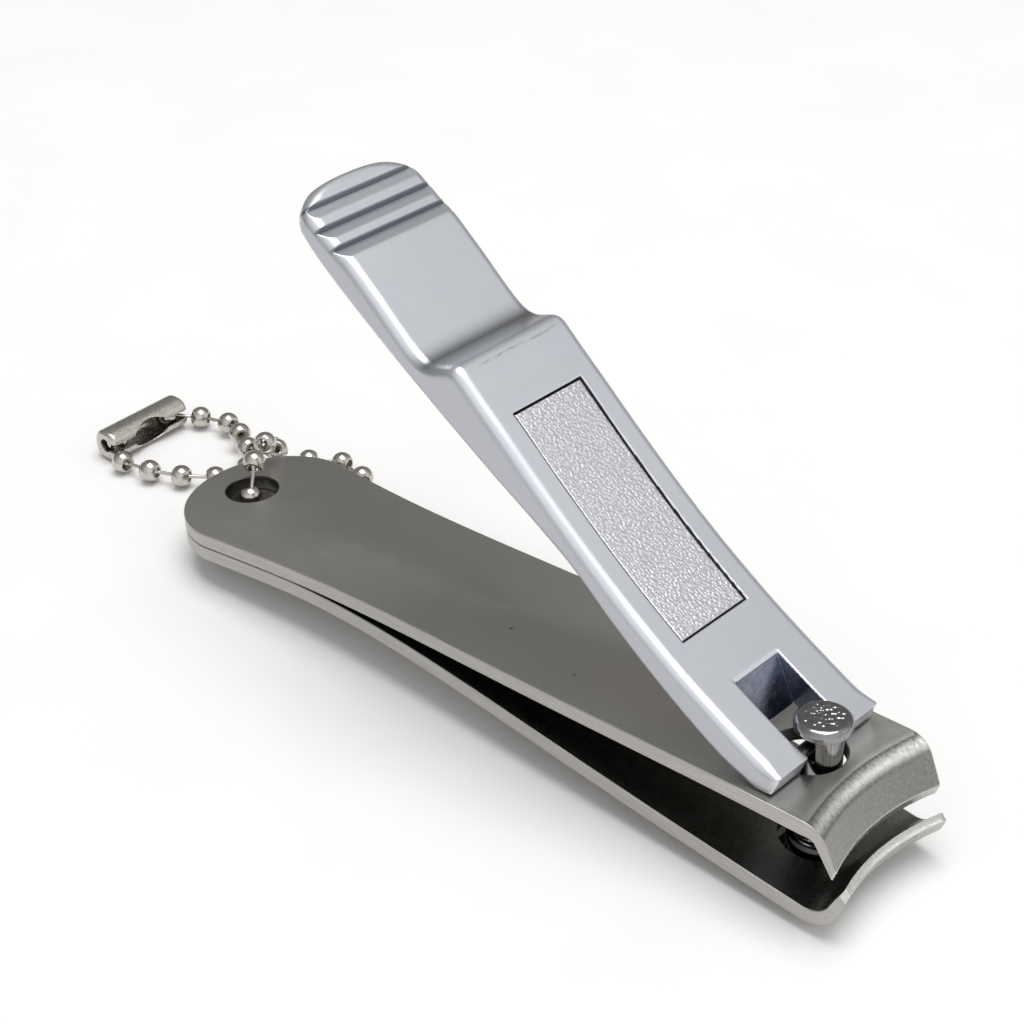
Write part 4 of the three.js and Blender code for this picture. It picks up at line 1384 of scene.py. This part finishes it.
def make_connector():
    along = unit(centres[0] - centres[-1])
    mouth = unit(np.cross(along, (0, 0, 1)))
    turn = np.stack([mouth, along, np.cross(mouth, along)], 1)
    reach = TUBE_HALF + 0.4
    points, quads, normals = implicit(
        connector_field, (-2.0, -reach, -2.0), (2.0, reach, 2.0), cell=0.085, relax=2)
    worn = chrome("worn_nickel_sheet", base=(0.60, 0.58, 0.53), rough=0.24, distance=0.00003)
    build("connector_folded", points @ turn.T + (centres[0] + centres[-1]) / 2, quads,
          "chain_connector", [worn], points, normals=normals @ turn.T,
          in_row=True)


make_connector()


# ------------------------------------------------------------------ floor, world, lights, camera
def make_floor():
    half = 6.0
    mesh = bpy.data.meshes.new("floor")
    corners = [(-half, -half, 0), (half, -half, 0), (half, half, 0), (-half, half, 0)]
    mesh.from_pydata(corners, [], [(0, 1, 2, 3)])
    floor = bpy.data.objects.new("floor", mesh)
    floor.location = (0, 0, CAD_BOX[0].z - 0.00002)     # just clear of the lowest piece
    bpy.context.scene.collection.objects.link(floor)
    mesh.materials.append(pale_floor())


def make_world():
    """A studio that brightens towards one direction."""
    world = bpy.data.worlds.new("studio")
    bpy.context.scene.world = world
    world.use_nodes = True
    nodes, links = world.node_tree.nodes, world.node_tree.links
    background = nodes["Background"]
    coords = nodes.new("ShaderNodeTexCoord")
    towards = nodes.new("ShaderNodeVectorMath")
    towards.operation = "DOT_PRODUCT"
    towards.inputs[1].default_value = (0.80, -0.45, 0.40)
    links.new(coords.outputs["Generated"], towards.inputs[0])
    ramp = nodes.new("ShaderNodeValToRGB")
    spread = nodes.new("ShaderNodeMapRange")
    spread.inputs["From Min"].default_value = -1.0
    spread.inputs["From Max"].default_value = 1.0
    links.new(towards.outputs["Value"], spread.inputs["Value"])
    links.new(spread.outputs[0], ramp.inputs["Fac"])
    # Adding a stop re-sorts the ramp under the stops already fetched, so the order in which
    # they are fetched and set decides the colours.
    elements = ramp.color_ramp.elements
    stops = [elements[0], elements[1], elements.new(0.45)]
    settings = [
        (0.0, (0.17, 0.167, 0.158)),
        (1.0, (0.58, 0.588, 0.602)),
        (0.45, (0.37, 0.37, 0.37)),
    ]
    for stop, (position, colour) in zip(stops, settings):
        stop.position = position
        stop.color = (*colour, 1)
    links.new(ramp.outputs["Color"], background.inputs["Color"])
    background.inputs["Strength"].default_value = 1.0


def area_light(name, place, target, size, power, color):
    light = bpy.data.lights.new(name, "AREA")
    light.shape = "RECTANGLE"
    light.size, light.size_y = size
    light.energy = power
    light.color = color
    ob = bpy.data.objects.new(name, light)
    ob.location = place
    ob.rotation_mode = "QUATERNION"
    ob.rotation_quaternion = (Vector(target) - Vector(place)).to_track_quat("-Z", "Y")
    bpy.context.scene.collection.objects.link(ob)


def make_camera():
    data = bpy.data.cameras.new("camera")
    data.sensor_width = 36
    data.lens = 78.2694140625
    data.clip_start, data.clip_end = 0.01, 20
    camera = bpy.data.objects.new("camera", data)
    right = (0.73515646, 0.67786712, 0.00641369)
    up = (-0.37787814, 0.40192259, 0.83406615)
    back = (0.56280821, -0.61559271, 0.55162716)
    place = (0.07708043525, -0.12332771732, 0.12998853042)
    camera.matrix_world = Matrix([*zip(right, up, back, place), (0, 0, 0, 1)])
    bpy.context.scene.collection.objects.link(camera)
    bpy.context.scene.camera = camera


make_floor()
make_world()
area_light("softbox_top", place=(-0.03, 0.03, 0.75), target=(-0.03, 0, 0), size=(0.62, 0.5),
           power=4.3, color=(1.0, 0.995, 0.985))
area_light("card_right", place=(0.75, 0.65, 0.55), target=(-0.02, 0, 0.02), size=(0.6, 0.6),
           power=0.3, color=(0.97, 0.985, 1.0))
make_camera()
bpy.context.scene.view_settings.view_transform = "Standard"
